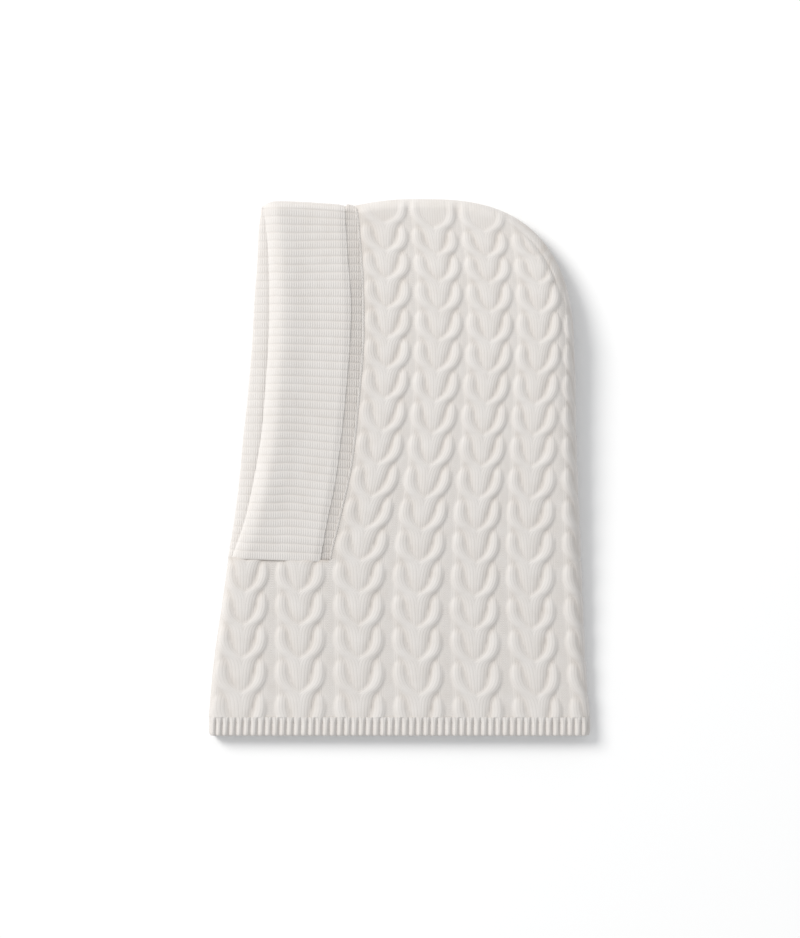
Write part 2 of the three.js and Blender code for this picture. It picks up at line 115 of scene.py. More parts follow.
# The curved crown seam: a quarter oval from the middle of the top edge to the back fold
CROWN_X = 156.75
CROWN_HEIGHT = 288.0
CROWN_REACH = 120.0
CROWN_RISE = 115.0
CROWN_FLAT_TOP = 2.9
CROWN_FLAT_BACK = 2.35
TOP_DIP = 5.0
TOP_DIP_REACH = 43.5

# The seam line inside the curved part of the crown, and the rolled edge outside it
SEAM_LINE_INSET = 6.5
SEAM_LINE_HALF = 0.7
SEAM_LINE_DEPTH = 0.5
SEAM_LINE_FADE = 3.0
SEAM_LINE_START = 222.0
SEAM_LINE_START_FADE = 12.0
SEAM_LINE_END = 325.0
SEAM_LINE_END_FADE = 20.0


def table(columns, rows):
    return {name: np.array(values, float) for name, values in zip(columns, zip(*rows))}


# Where the columns of the knit lie across the hood, up its height
COLUMN_TABLE = table(
    ("height", "seam", "cable1", "cable2", "cable3", "cable4", "back"),
    [
        (14.25, 93.75, 116.3, 161.2, 204.75, 250.5, 287.5),
        (57, 93.5, 115.6, 159.9, 202.8, 247.5, 284.25),
        (102, 93.5, 115.6, 159.2, 202.6, 243.75, 282.25),
        (132, 93.75, 116.6, 161.3, 203.6, 243, 281),
        (162, 100.5, 121.5, 163, 204.3, 243, 279.75),
        (203, 109.5, 129.3, 168.2, 207.5, 244.8, 278),
        (252, 115, 135, 172.2, 210.7, 247.2, 276.75),
        (297, 118.5, 136.8, 175, 213.7, 250.2, 276.75),
        (342, 118, 136.2, 175.4, 212.7, 249.8, 276.75),
        (382, 115, 135.2, 171.5, 208.7, 245.3, 276.75),
        (403, 112.5, 134.7, 170, 207.2, 243, 276.75),
    ],
)

# The front of the neck, below the face opening
NECK_TABLE = table(
    ("height", "front", "cableA", "cableB", "frontRound"),
    [
        (14.25, 2.5, 27, 71.25, 4),
        (57, 6.5, 28, 71.25, 4.5),
        (102, 13, 29.7, 70.5, 9),
        (132, 17.25, 31.5, 70, 11),
    ],
)

# How high the upper layer lies, how round the back fold is, and how many cable crossings lie below
LAY_TABLE = table(
    ("height", "liftFront", "liftBack", "backRound", "crossingsFront", "crossingsBack", "cableHalf"),
    [
        (14.25, 11.5, 12.5, 6.8, -0.73, -0.65, 0.397),
        (57, 12, 14, 8, 0.9, 1.01, 0.398),
        (102, 12.5, 16.5, 9.5, 2.71, 2.85, 0.4),
        (132, 13, 18.5, 11, 3.97, 4.03, 0.405),
        (162, 13.5, 20.5, 12, 5.22, 5.29, 0.41),
        (203, 14, 23, 13.5, 6.91, 7, 0.418),
        (252, 14.5, 25, 14.5, 8.91, 9.1, 0.426),
        (297, 14.5, 26, 15, 10.88, 11.06, 0.431),
        (342, 14, 25, 15, 12.92, 13.09, 0.431),
        (382, 13, 21, 15, 14.82, 15.2, 0.431),
        (403, 12, 18, 15, 15.8, 16.2, 0.431),
    ],
)

# The turned-back face band: its free edge on the body, its fold on the near and the far side, and how
# much its ribs climb for each millimetre across
BAND_TABLE = table(
    ("height", "freeEdge", "nearFold", "farFold", "ribClimb"),
    [
        (132, 86.25, 20, 17, -0.05),
        (162, 91.5, 30, 21.75, -0.11),
        (192, 97.5, 36.5, 25.5, -0.1),
        (225, 102, 42, 28.5, -0.07),
        (252, 105, 44.5, 31.5, -0.03),
        (297, 108.75, 47.5, 35.25, 0.01),
        (327, 109.5, 48, 36.75, 0.04),
        (357, 107.25, 47.5, 39, 0.08),
        (380, 105.75, 45.75, 40, 0.07),
        (396, 105, 43.5, 42, 0.01),
    ],
)
BAND_LAYER = 2.4
BAND_LAYER_GAP = 0.6
BAND_STACK = 2 * BAND_LAYER + BAND_LAYER_GAP
NEAR_FOLD_REACH = 3.2
FAR_FOLD_REACH = 14.0
FAR_FOLD_LIFT = 1.5
BAND_TOP_HEIGHT = 401.4
BAND_TOP_DIP = 3.4
BAND_TOP_START = 52.5
BAND_TOP_REACH = 58.0
BAND_TOP_POWER = 1.6
BAND_TOP_SQUASH = 0.75
BAND_RIBS_OVER_TOP = 4

# The hem
HEM_RIBS_PER_SIDE = 54
HEM_WALL = 2.4
HEM_FLARE = 0.002

# One half of a horseshoe cable: a strand of stitches that leaves the outer edge below one crossing,
# swells, runs in to the centre line at the next, and goes on down the middle until it dips out of sight.
# fall counts crossings downwards; out and half are shares of the cable's half width, rise of its height.
STRAND_TABLE = table(
    ("fall", "out", "half", "rise"),
    [
        (0, 0.8, 0.06, 0),
        (0.08, 0.82, 0.1, 0.25),
        (0.15, 0.84, 0.14, 0.52),
        (0.22, 0.855, 0.18, 0.75),
        (0.34, 0.865, 0.22, 0.93),
        (0.5, 0.86, 0.245, 1),
        (0.62, 0.82, 0.265, 1),
        (0.73, 0.76, 0.285, 1),
        (0.82, 0.68, 0.31, 1),
        (0.9, 0.57, 0.35, 1),
        (0.97, 0.44, 0.39, 0.99),
        (1.02, 0.31, 0.44, 0.96),
        (1.1, 0.2, 0.48, 0.92),
        (1.2, 0.14, 0.48, 0.88),
        (1.35, 0.1, 0.44, 0.84),
        (1.5, 0.08, 0.39, 0.8),
        (1.75, 0.06, 0.29, 0.66),
        (1.9, 0.05, 0.22, 0.52),
        (2, 0.04, 0.16, 0.35),
    ],
)
STRAND_LENGTH = 2.0
TOP_STRAND_START = 0.3
STRAND_ROUNDNESS = 0.8
STRAND_MELT = 0.13

# The strands spread on their inner side before they meet, more on the side that faces the front.
INNER_SPREAD = 0.4
INNER_SPREAD_ON_LEFT = 0.8
INNER_SPREAD_END = 1.2

# The bed between the strands, the plain stitches above the last crossing, and where a cable ends
CABLE_BASE = 0.13
BED_LEAN = 0.28
PLAIN_RISE = 0.62
CABLE_REACH = 1.08
CABLE_PITCH = 43.0
LEAN_SQUEEZE = 0.8


def mix(a, b, share):
    return a + (b - a) * share


def read(rows, column, place, key="height"):
    """Reads a column of a table at places along its first column, on a smooth curve through the rows."""
    at_rows, values = rows[key], rows[column]
    at = np.clip(np.asarray(place, float), at_rows[0], at_rows[-1])
    i = np.clip(np.searchsorted(at_rows, at, side="right") - 1, 0, len(at_rows) - 2)
    before = np.maximum(np.arange(len(at_rows)) - 1, 0)
    after = np.minimum(np.arange(len(at_rows)) + 1, len(at_rows) - 1)
    slope = (values[after] - values[before]) / (at_rows[after] - at_rows[before])
    step = at_rows[i + 1] - at_rows[i]
    t = (at - at_rows[i]) / step
    ease = t * t * (3 - 2 * t)
    bend = t * (1 - t) * step * (slope[i] * (1 - t) - slope[i + 1] * t)
    return mix(values[i], values[i + 1], ease) + bend


def top_edge(x, inset=0.0):
    """Height of the hood's top edge above a place across."""
    x = np.asarray(x, float)
    dip = CROWN_HEIGHT + CROWN_RISE - inset - TOP_DIP * ((CROWN_X - x) / TOP_DIP_REACH) ** 2
    share = np.clip((x - CROWN_X) / (CROWN_REACH - inset), 0, 1)
    curve = CROWN_HEIGHT + (CROWN_RISE - inset) * (1 - share**CROWN_FLAT_TOP) ** (1 / CROWN_FLAT_BACK)
    return np.where(x < CROWN_X, dip, curve)


def back_edge(height, inset=0.0):
    """Place across of the hood's back edge at a height."""
    height = np.asarray(height, float)
    share = np.clip((height - CROWN_HEIGHT) / (CROWN_RISE - inset), 0, 1)
    curve = CROWN_X + (CROWN_REACH - inset) * (1 - share**CROWN_FLAT_BACK) ** (1 / CROWN_FLAT_TOP)
    return np.where(height <= CROWN_HEIGHT, read(COLUMN_TABLE, "back", height) - inset, curve)


def over_fold(share, flat, bend):
    """Where a share of the way to a fold lies: on the flat part or not, how far along, and how far short
    of the fold's outside once the knit turns over."""
    along = share * (flat + bend * math.pi / 2)
    return along <= flat, along, bend * (1 - np.sin(np.clip((along - flat) / bend, 0, math.pi / 2)))


def place_across(column, height, inset=0.0):
    """Place across of a column: even along the knit, so closer together where it turns over a fold."""
    column, height = np.broadcast_arrays(np.asarray(column, float), np.asarray(height, float))
    stops = [
        (FIRST_CABLE, read(NECK_TABLE, "cableA", height)),
        (0, read(NECK_TABLE, "cableB", height)),
        (SEAM_COLUMN, read(COLUMN_TABLE, "seam", height)),
        (1, read(COLUMN_TABLE, "cable1", height)),
        (2, read(COLUMN_TABLE, "cable2", height)),
        (3, read(COLUMN_TABLE, "cable3", height)),
        (4, read(COLUMN_TABLE, "cable4", height)),
    ]
    x = np.zeros(column.shape)
    for (low, x_low), (high, x_high) in zip(stops, stops[1:]):
        inside = (column >= low) & (column <= high)
        x = np.where(inside, mix(x_low, x_high, (column - low) / (high - low)), x)
    cable4, cable_a = stops[-1][1], stops[0][1]
    back = read(COLUMN_TABLE, "back", height) - inset
    bend = read(LAY_TABLE, "backRound", height) - inset
    share = (column - LAST_FLAT_CABLE) / (BACK_FOLD - LAST_FLAT_CABLE)
    is_flat, along, short = over_fold(share, back - bend - cable4, bend)
    x = np.where(column > LAST_FLAT_CABLE, np.where(is_flat, cable4 + along, back - short), x)
    front = read(NECK_TABLE, "front", height) + inset
    bend = read(NECK_TABLE, "frontRound", height) - inset
    share = (FIRST_CABLE - column) / (FIRST_CABLE - FRONT_FOLD)
    is_flat, along, short = over_fold(share, cable_a - front - bend, bend)
    return np.where(column < FIRST_CABLE, np.where(is_flat, cable_a - along, front + short), x)


def notch_line(x):
    """Height of the upper layer's cut below the face opening, a little higher towards the front fold."""
    seam = float(read(COLUMN_TABLE, "seam", NOTCH_HEIGHT))
    return NOTCH_HEIGHT + NOTCH_CLIMB * np.maximum(seam - x, 0)


def bell(share):
    return np.exp(-(share**2))


def quarter_round(share):
    return np.sqrt(1 - (1 - np.clip(share, 0, 1)) ** 2)


def within_crown(x, height, inset=0.0):
    """How far in a point lies: across from the back edge, down from the top edge, and from the line
    between the two places on the outline."""
    across_gap = np.maximum(back_edge(height, inset) - x, 0)
    up_gap = np.maximum(top_edge(x, inset) - height, 0)
    return across_gap, up_gap, across_gap * up_gap / np.maximum(np.hypot(across_gap, up_gap), 1e-9)


def flatness(x, height, inset=0.0):
    """0 on the hood's outline, 1 where the knit lies flat."""
    across_gap, up_gap, chord = within_crown(x, height, inset)
    total = np.maximum(across_gap + up_gap, 1e-9)
    back_round = read(LAY_TABLE, "backRound", height) - inset
    bend = (back_round * up_gap + (CROWN_ROUND - inset) * across_gap) / total
    at_back = np.where(chord <= 0, 0, quarter_round(chord / np.maximum(bend, 1e-9)))
    front = read(NECK_TABLE, "front", height) + inset
    front_round = read(NECK_TABLE, "frontRound", height) - inset
    at_front = quarter_round((x - front) / front_round)
    return np.minimum(at_back, at_front)


def ground(side, x, height, inset=0.0):
    """Height off the table of the purl ground of the upper or the lower layer, or of its inner face."""
    seam = read(COLUMN_TABLE, "seam", height)
    share = np.clip(x / read(COLUMN_TABLE, "back", height), 0, 1)
    lift = mix(read(LAY_TABLE, "liftFront", height), read(LAY_TABLE, "liftBack", height), share)
    above_notch = np.clip((height - NOTCH_HEIGHT) / BAND_BED_RISE, 0, 1)
    over_band = above_notch * bell((x - seam) / BAND_BED_REACH)
    low = mix(GROUND_OFF_TABLE, BAND_STACK - BAND_LAYER, over_band)
    middle = (lift + low) / 2
    outer = lift - inset if side > 0 else low + inset
    return mix(middle, outer, flatness(x, height, inset))


def crossings_below(column, height):
    front = read(LAY_TABLE, "crossingsFront", height)
    back = read(LAY_TABLE, "crossingsBack", height)
    share = np.clip((LAST_FLAT_CABLE - column) / (LAST_FLAT_CABLE - 1), 0, 1)
    return back - (back - front) * share**2


def strand_at(crossing, fall):
    """Place, half width and rise of a strand, some crossings below where it starts."""
    place = np.where(crossing == LAST_CROSSING, np.maximum(fall, TOP_STRAND_START), fall)
    return [read(STRAND_TABLE, name, place, "fall") for name in ("out", "half", "rise")]


def strands_over(from_centre, crossings):
    """Relief of the two strands that may show at a point: the one that runs in to the crossing below it,
    and the one from the crossing above, on its way down the middle."""
    u = np.abs(from_centre)
    spread = np.where(from_centre < 0, INNER_SPREAD_ON_LEFT, INNER_SPREAD)
    level = np.floor(crossings)
    found = []
    for crossing in (level, level + 1):
        fall = crossing + 1 - crossings
        out, half, rise = strand_at(crossing, fall)
        inner_half = half * (1 + spread * np.clip(INNER_SPREAD_END - fall, 0, 1))
        off = (u - out) / np.where(u < out, inner_half, half)
        relief = rise * np.maximum(1 - off**2, 0) ** STRAND_ROUNDNESS
        shown = (crossing <= LAST_CROSSING) & (fall <= STRAND_LENGTH)
        found.append(np.where(shown, relief, 0))
    return found


def plain_relief(u, crossings):
    """Relief of the plain stitches above the last crossing."""
    beyond = crossings - LAST_CROSSING
    bow = np.sqrt(np.maximum(1 - np.minimum(u, 1) ** 3, 0))
    return np.where(beyond > 0, PLAIN_RISE * bow * np.minimum(0.5 + beyond, 1), 0)


def melted(a, b):
    """The higher of two heights, with the crease between them filled a little."""
    return (a + b + np.sqrt((a - b) ** 2 + STRAND_MELT**2) - STRAND_MELT) / 2


def cable_relief(from_centre, crossings):
    """Relief of the cables, as a share of their height. from_centre is a share of a cable's half width."""
    u = np.abs(from_centre)
    bed = CABLE_BASE * (1 + np.sin(2 * math.pi * crossings)) + BED_LEAN * np.maximum(-from_centre, 0)
    relief = bed * np.sqrt(np.maximum(1 - np.minimum(u, 1) ** 4, 0))
    for strand in strands_over(from_centre, crossings):
        relief = melted(relief, strand)
    relief = np.maximum(relief, plain_relief(u, crossings))
    return np.where(u >= CABLE_REACH, 0, relief)


def crown_fade(x, height):
    towards_back = np.clip((x - CROWN_X) / CROWN_REACH, 0, 1)
    length = mix(CROWN_FADE, CROWN_FADE_AT_BACK, towards_back**4)
    return np.clip((top_edge(x) - height) / length, 0, 1)


def crown_seam(x, height):
    """Shares of the crown's seam line, of the rolled edge outside it, and of the stretch without cables."""
    inside = within_crown(x, height)[2]
    curved = np.clip((x - SEAM_LINE_START) / SEAM_LINE_START_FADE, 0, 1)
    curved = curved * np.clip((height - SEAM_LINE_END) / SEAM_LINE_END_FADE, 0, 1)
    line = bell((inside - SEAM_LINE_INSET) / SEAM_LINE_HALF)
    beyond = np.clip((SEAM_LINE_INSET + SEAM_LINE_FADE - inside) / SEAM_LINE_FADE, 0, 1)
    return curved * line, curved * np.clip(1 - inside / SEAM_LINE_INSET, 0, 1), curved * beyond


def from_cable_centre(column, height):
    return (column - np.round(column)) / read(LAY_TABLE, "cableHalf", height)


def lively(column, height):
    one, other = [np.sin(column * across + height * up) for across, up in LIVELY_WAVES]
    return 1 + LIVELY_SHARE * one * other


def outward(side, x, height, column):
    """Directions out of the knit, level on the outline, where the two layers meet."""
    run = 2 * SLOPE_STEP
    slope_x = (ground(side, x + SLOPE_STEP, height) - ground(side, x - SLOPE_STEP, height)) / run
    slope_y = (ground(side, x, height + SLOPE_STEP) - ground(side, x, height - SLOPE_STEP)) / run
    slope_x = slope_x / (1 + np.abs(slope_x) / STEEPEST_SLOPE)
    slope_y = slope_y / (1 + np.abs(slope_y) / STEEPEST_SLOPE)
    out = np.stack([-slope_x * side, -slope_y * side, np.full(x.shape, float(side))], axis=-1)
    sideways = np.stack([np.where(column > SEAM_COLUMN, 1.0, -1.0), 0 * x, 0 * x], axis=-1)
    out = np.where(on_fold(column)[..., None], sideways, out)
    return out / np.linalg.norm(out, axis=-1, keepdims=True)


def on_fold(column):
    return (column == FRONT_FOLD) | (column == BACK_FOLD)


def knit_points(side, column, height, cable_height):
    """Points on the outer face of the knit. side is 1 on the upper layer and -1 on the lower one."""
    column, height = np.broadcast_arrays(np.asarray(column, float), np.asarray(height, float))
    x = place_across(column, height)
    relief = cable_relief(from_cable_centre(column, height), crossings_below(column, height))
    pressed = np.clip((notch_line(x) - height) / NOTCH_PRESSED, LEAST_PRESSED, 1)
    under_band = (side > 0) & (column <= SEAM_COLUMN)
    raised = cable_height * crown_fade(x, height) * relief * lively(column, height)
    raised = raised * np.where(under_band, pressed, 1)
    line, _, beyond = crown_seam(x, height)
    raised = raised * (1 - beyond) - SEAM_LINE_DEPTH * line
    middle = (ground(1, x, height) + ground(-1, x, height)) / 2
    z = np.where(on_fold(column), middle, ground(side, x, height))
    points = np.stack([x, height, z], axis=-1) + outward(side, x, height, column) * raised[..., None]
    points[..., 2] = np.maximum(points[..., 2], 0)
    return points


def edge_points(column, height, inset=0.0):
    """Points on the outline, where the two layers meet."""
    x = place_across(column, height, inset)
    middle = (ground(1, x, height, inset) + ground(-1, x, height, inset)) / 2
    return np.stack([x, np.broadcast_to(height, x.shape), middle], axis=-1)


def crown_heights(columns, inset=0.0):
    """Where lines of the knit meet the top edge."""
    low, high = np.full(len(columns), LOWEST_CROWN), np.full(len(columns), HOOD_LENGTH)
    for _ in range(CROWN_HALVINGS):
        middle = (low + high) / 2
        under = middle < top_edge(place_across(columns, middle, inset), inset)
        low, high = np.where(under, middle, low), np.where(under, high, middle)
    return (low + high) / 2


# Cloth meshes

SHARP_ANGLE = 65.0


def to_frame(points):
    """Millimetres from the front corner of the hem, as metres in the part's frame."""
    return (np.asarray(points, float) - (HOOD_WIDTH / 2, HOOD_LENGTH / 2, 0)) / 1000


def corners_of(grid):
    return np.stack([grid[:-1, :-1], grid[1:, :-1], grid[1:, 1:], grid[:-1, 1:]], axis=-1)


def looped(grid, axis):
    """A grid with its first line again behind its last."""
    return np.concatenate([grid, np.take(grid, [0], axis=axis)], axis=axis)


class Cloth:
    """Collects faces with a texture place at each corner, and makes them one mesh with shared points.

    A corner carries its wale and course, which the stitches follow, and two shares: how purl the knit is
    there, and how much painted shade darkens its colour, mostly where it lies deep.
    """

    def __init__(self):
        self.points = []
        self.faces = []
        self.corners = []
        self.count = 0

    def add_points(self, points, wale, course, purl, painted_shade):
        shape = points.shape[:-1]
        ids = np.arange(self.count, self.count + int(np.prod(shape))).reshape(shape)
        self.points.append(points.reshape(-1, 3))
        self.count += ids.size
        carried = [np.broadcast_to(a, shape).reshape(-1) for a in (wale, course, purl, painted_shade)]
        self.corners.append(np.stack(carried, axis=-1))
        return ids

    def add_faces(self, ids, corner_values=None):
        self.faces.append((ids, corner_values))

    def add_grid(self, ids, turned=False, values=None):
        """Faces between the lines of a grid. values are their corners' own, if not those of the points."""
        quads = corners_of(ids)
        if turned:
            quads = quads[..., ::-1]
            values = None if values is None else values[..., ::-1, :]
        self.add_faces(quads.reshape(-1, 4), None if values is None else values.reshape(-1, 4, 4))

    def add_rim(self, outer_ring, inner_ring):
        """Joins two closed lines that start at the same corner, each with its points' places along it."""
        outer, inner = [*outer_ring[0], outer_ring[0][0]], [*inner_ring[0], inner_ring[0][0]]
        outer_place, inner_place = [*outer_ring[1], math.inf], [*inner_ring[1], math.inf]
        i = j = 0
        faces = []
        while i < len(outer) - 1 or j < len(inner) - 1:
            if j == len(inner) - 1 or (i < len(outer) - 1 and outer_place[i + 1] <= inner_place[j + 1]):
                faces.append((outer[i], outer[i + 1], inner[j]))
                i += 1
            else:
                faces.append((outer[i], inner[j + 1], inner[j]))
                j += 1
        self.add_faces(np.array(faces))

    def make(self, name, material):
        points = to_frame(np.concatenate(self.points))
        carried = np.concatenate(self.corners)
        _, first, same = np.unique(np.round(points, 7), axis=0, return_index=True, return_inverse=True)
        same = same.reshape(-1)
        polygons, values = [], []
        for ids, corner_values in self.faces:
            welded = same[ids]
            own = carried[ids] if corner_values is None else corner_values
            whole = np.ones(len(ids), bool)
            for a in range(ids.shape[1]):
                whole &= welded[:, a] != welded[:, a - 1]
            whole &= ids.shape[1] != 4 or (welded[:, 0] != welded[:, 2]) & (welded[:, 1] != welded[:, 3])
            polygons += welded[whole].tolist()
            values.append(own[whole].reshape(-1, 4))
            if ids.shape[1] == 4:
                for face, value in zip(welded[~whole], own[~whole]):
                    kept = [k for k in range(4) if face[k] != face[k - 1]]
                    if len(kept) == 3:
                        polygons.append([int(face[k]) for k in kept])
                        values.append(value[kept])
        mesh = bpy.data.meshes.new(name)
        mesh.from_pydata(points[first].tolist(), [], polygons)
        values = np.concatenate(values).astype(np.float32)
        # Stitches carries wale and course; Knit carries the purl share and the share of painted shade
        for layer, shares in (("Stitches", values[:, :2]), ("Knit", values[:, 2:])):
            mesh.uv_layers.new(name=layer).data.foreach_set("uv", shares.ravel())
        mesh.validate(clean_customdata=False)
        mesh.update()
        face_outwards(mesh)
        mesh.polygons.foreach_set("use_smooth", np.ones(len(mesh.polygons), bool))
        mesh.set_sharp_from_angle(angle=math.radians(SHARP_ANGLE))
        mesh.materials.append(material)
        piece = bpy.data.objects.new(name, mesh)
        bpy.context.scene.collection.objects.link(piece)
        return piece


def face_outwards(mesh):
    """Makes the faces of a closed mesh agree and point out."""
    shape = bmesh.new()
    shape.from_mesh(mesh)
    bmesh.ops.recalc_face_normals(shape, faces=shape.faces)
    if shape.calc_volume(signed=True) < 0:
        bmesh.ops.reverse_faces(shape, faces=shape.faces)
    shape.to_mesh(mesh)
    shape.free()


# Body

LINES_PER_COLUMN = 36
NECK_ROWS = 91
HEAD_ROWS = 200
SHOULDER_ROWS = 10
INNER_LINE_STEP = 6
INNER_ROW_STEP = 6
INNER_ROW_EVENNESS = 0.6

# Where the knit is purl, and how much painted shade darkens its parts, standing in for the shade that falls
# there: purl gaps, inner face, pockets between strands, the crown's seam and rolled edge, the knit under
# the band's lower end and beside the face seam
PURL_LEAD = 0.06
PURL_BLEND = 0.05
PURL_PAINTED_SHADE = 0.34
INNER_PAINTED_SHADE = 0.6
POCKET_POWER = 1.5
OUTER_FADE = 0.2
OUTER_SHADE = 0.4
SEAM_LINE_SHADE = 0.35
ROLLED_EDGE_SHADE = 0.45
NOTCH_SHADE = 0.9
NOTCH_SHADE_REACH = 2.2
LEE_SHADE = 0.5
LEE_REACH = 7.0


def head_heights(columns):
    """Rows of points from the notch to the crown on each line, closer together where it turns over."""
    turn = np.sin(np.linspace(0, math.pi / 2, SHOULDER_ROWS + 1))
    over = (crown_heights(columns) - CROWN_ROUND)[:, None] + CROWN_ROUND * turn[None, :]
    straight = np.linspace(0, 1, HEAD_ROWS)[None, :-1]
    return np.concatenate([mix(NOTCH_HEIGHT, over[:, :1], straight), over], axis=1)


def neck_heights(columns, row_count):
    """Rows of points from the hem to the slanting cut below the face opening."""
    rows = np.linspace(BODY_BOTTOM, NOTCH_HEIGHT, row_count)
    share = (rows - rows[0]) / (rows[-1] - rows[0])
    x = place_across(columns, np.full(len(columns), NOTCH_HEIGHT))
    top = np.where(columns < SEAM_COLUMN, notch_line(x), NOTCH_HEIGHT)
    return mix(rows[0], top[:, None], share[None, :])


def purl_and_painted_shade(column, height, u, relief):
    """How purl the knit is and how much painted shade it takes, at a share u of the half width from a
    cable's centre.
    """
    purl = np.clip((u - CABLE_REACH + PURL_LEAD) / PURL_BLEND, 0, 1)
    # Painted shade in the pockets between the strands, less towards a cable's outer edge
    pocket_shade = (1 - np.clip(relief, 0, 1)) ** POCKET_POWER * np.clip((1 - u) / OUTER_FADE, OUTER_SHADE, 1)
    x = place_across(column, height)
    line, rolled, _ = crown_seam(x, height)
    from_seam = x - read(COLUMN_TABLE, "seam", height)
    beside_seam = bell(from_seam / LEE_REACH) * (height > NOTCH_HEIGHT)
    under_end = bell((notch_line(x) - height) / NOTCH_SHADE_REACH) * (column < SEAM_COLUMN)
    painted_shade = mix(pocket_shade, PURL_PAINTED_SHADE, purl) + SEAM_LINE_SHADE * line + ROLLED_EDGE_SHADE * rolled
    return purl, painted_shade + LEE_SHADE * beside_seam + NOTCH_SHADE * under_end


def stitch_values(column, height, settings):
    """Wale, course, purl and painted shade at the corners of faces.

    Each face lies on the strand that shows at its centre, and its wales follow that strand's middle. Where
    no strand shows, they run straight up the knit.
    """
    centre_column, centre_height = column.mean(axis=-1), height.mean(axis=-1)
    wale_width = settings.wale_width * 1000
    cable = np.round(centre_column)[..., None]
    across = column - cable
    wale = (place_across(column, height) - place_across(cable + 0 * column, height)) / wale_width
    course = height / (settings.course_height * 1000)
    half = read(LAY_TABLE, "cableHalf", height)
    crossings = crossings_below(column, height)
    from_centre = (centre_column - cable[..., 0]) / read(LAY_TABLE, "cableHalf", centre_height)
    crossings_centre = crossings_below(centre_column, centre_height)
    mirror = np.sign(centre_column - cable[..., 0])[..., None]
    best = np.full(centre_column.shape, CABLE_BASE)
    for k, relief in enumerate(strands_over(from_centre, crossings_centre)):
        crossing = (np.floor(crossings_centre) + k)[..., None]
        fall = crossing + 1 - crossings
        middle = strand_at(crossing + 0 * fall, fall)[0]
        from_middle = (middle - mirror * across / half) * half * CABLE_PITCH * LEAN_SQUEEZE
        chosen = (relief > best) & (np.abs(from_centre) < CABLE_REACH)
        wale = np.where(chosen[..., None], mirror * from_middle / wale_width, wale)
        best = np.maximum(best, relief)
    relief = cable_relief(across / half, crossings)
    purl, painted_shade = purl_and_painted_shade(column, height, np.abs(across) / half, relief)
    return np.stack([wale, course, purl, painted_shade], axis=-1)


def outer_sheet(cloth, side, columns, heights, settings, top=None):
    """Points of one layer's outer face, and the values at its faces' corners. top has the last points of
    its lines where these lie on the outline."""
    column = np.broadcast_to(columns[:, None], heights.shape)
    points = knit_points(side, column, heights, settings.cable_height * 1000)
    if top is not None:
        points[:, -1] = top
    values = stitch_values(corners_of(column), corners_of(heights), settings)
    return cloth.add_points(points, 0, 0, 0, 0), values


def outer_layer(cloth, side, columns, seam, settings):
    """One layer's outer face: its points below and above the notch, and the values on the head's faces."""
    neck, neck_values = outer_sheet(cloth, side, columns, neck_heights(columns, NECK_ROWS), settings)
    head_columns = columns[seam:]
    heights = head_heights(head_columns)
    top = edge_points(head_columns, heights[:, -1])
    head, head_values = outer_sheet(cloth, side, head_columns, heights, settings, top)
    # The lower layer's last row of faces is left to join_at_crown.
    rows = None if side > 0 else -1
    cloth.add_grid(neck, side < 0, neck_values)
    cloth.add_grid(head[:, :rows], side < 0, head_values[:, :rows])
    return (neck, head), head_values


def join_at_crown(cloth, upper_top, lower, lower_values):
    """The lower layer's last row of faces, which meets twice as many points of the upper layer."""
    faces = [lower[:-1, -2], lower[1:, -2], upper_top[2::2], upper_top[1::2], upper_top[:-2:2]]
    start, end, end_top, start_top = np.moveaxis(lower_values[:, -1], 1, 0)
    values = [start, end, end_top, (end_top + start_top) / 2, start_top]
    cloth.add_faces(np.stack(faces, axis=-1)[:, ::-1], np.stack(values, axis=1)[:, ::-1])


def plain_ids(cloth, points, settings):
    """Points of an inner face, with plain stitches and an even painted shade on them."""
    wale = points[..., 0] / (settings.wale_width * 1000)
    course = points[..., 1] / (settings.course_height * 1000)
    return cloth.add_points(points, wale, course, 1, INNER_PAINTED_SHADE)


def inner_points(side, columns, heights, wall):
    column = np.broadcast_to(columns[:, None], heights.shape)
    x = place_across(column, heights, wall)
    points = np.stack([x, heights, ground(side, x, heights, wall)], axis=-1)
    return np.where(on_fold(column)[..., None], edge_points(column, heights, wall), points)


def inner_layer(cloth, side, columns, seam, settings):
    """One layer's inner face: its points below and above the notch."""
    wall = settings.wall_thickness * 1000
    heights = neck_heights(columns, NECK_ROWS // INNER_ROW_STEP + 1)
    neck = plain_ids(cloth, inner_points(side, columns, heights, wall), settings)
    head_columns = columns[seam:]
    tops = crown_heights(head_columns, wall)
    share = np.sin(np.linspace(0, math.pi / 2, HEAD_ROWS // INNER_ROW_STEP))
    share = np.minimum(mix(share, np.linspace(0, 1, len(share)), INNER_ROW_EVENNESS), 1)
    points = inner_points(side, head_columns, mix(NOTCH_HEIGHT, tops[:, None], share[None, :]), wall)
    points[:, -1] = edge_points(head_columns, tops, wall)
    head = plain_ids(cloth, points, settings)
    for ids in (neck, head):
        cloth.add_grid(ids, side > 0)
    return neck, head


def hem_ring(near, far, near_columns, far_columns):
    """The lower edge's points, round the neck from the front fold, and their places."""
    ids = np.concatenate([near[0][:, 0], far[0][::-1, 0][1:-1]])
    return ids, np.concatenate([near_columns, 2 * BACK_FOLD - far_columns[::-1][1:-1]])


def face_ring(near, far, near_seam, far_seam):
    """The face opening's points, from the front fold up the near side and back, and their places."""
    up = [near[0][: near_seam + 1, -1], near[1][0, 1:]]
    down = [far[1][0, ::-1][1:], far[0][:far_seam, -1][::-1]]
    places = [start + np.arange(1, len(part) + 1) / len(part) for start, part in enumerate(up + down)]
    return np.concatenate(up + down)[:-1], np.concatenate(places)[:-1]


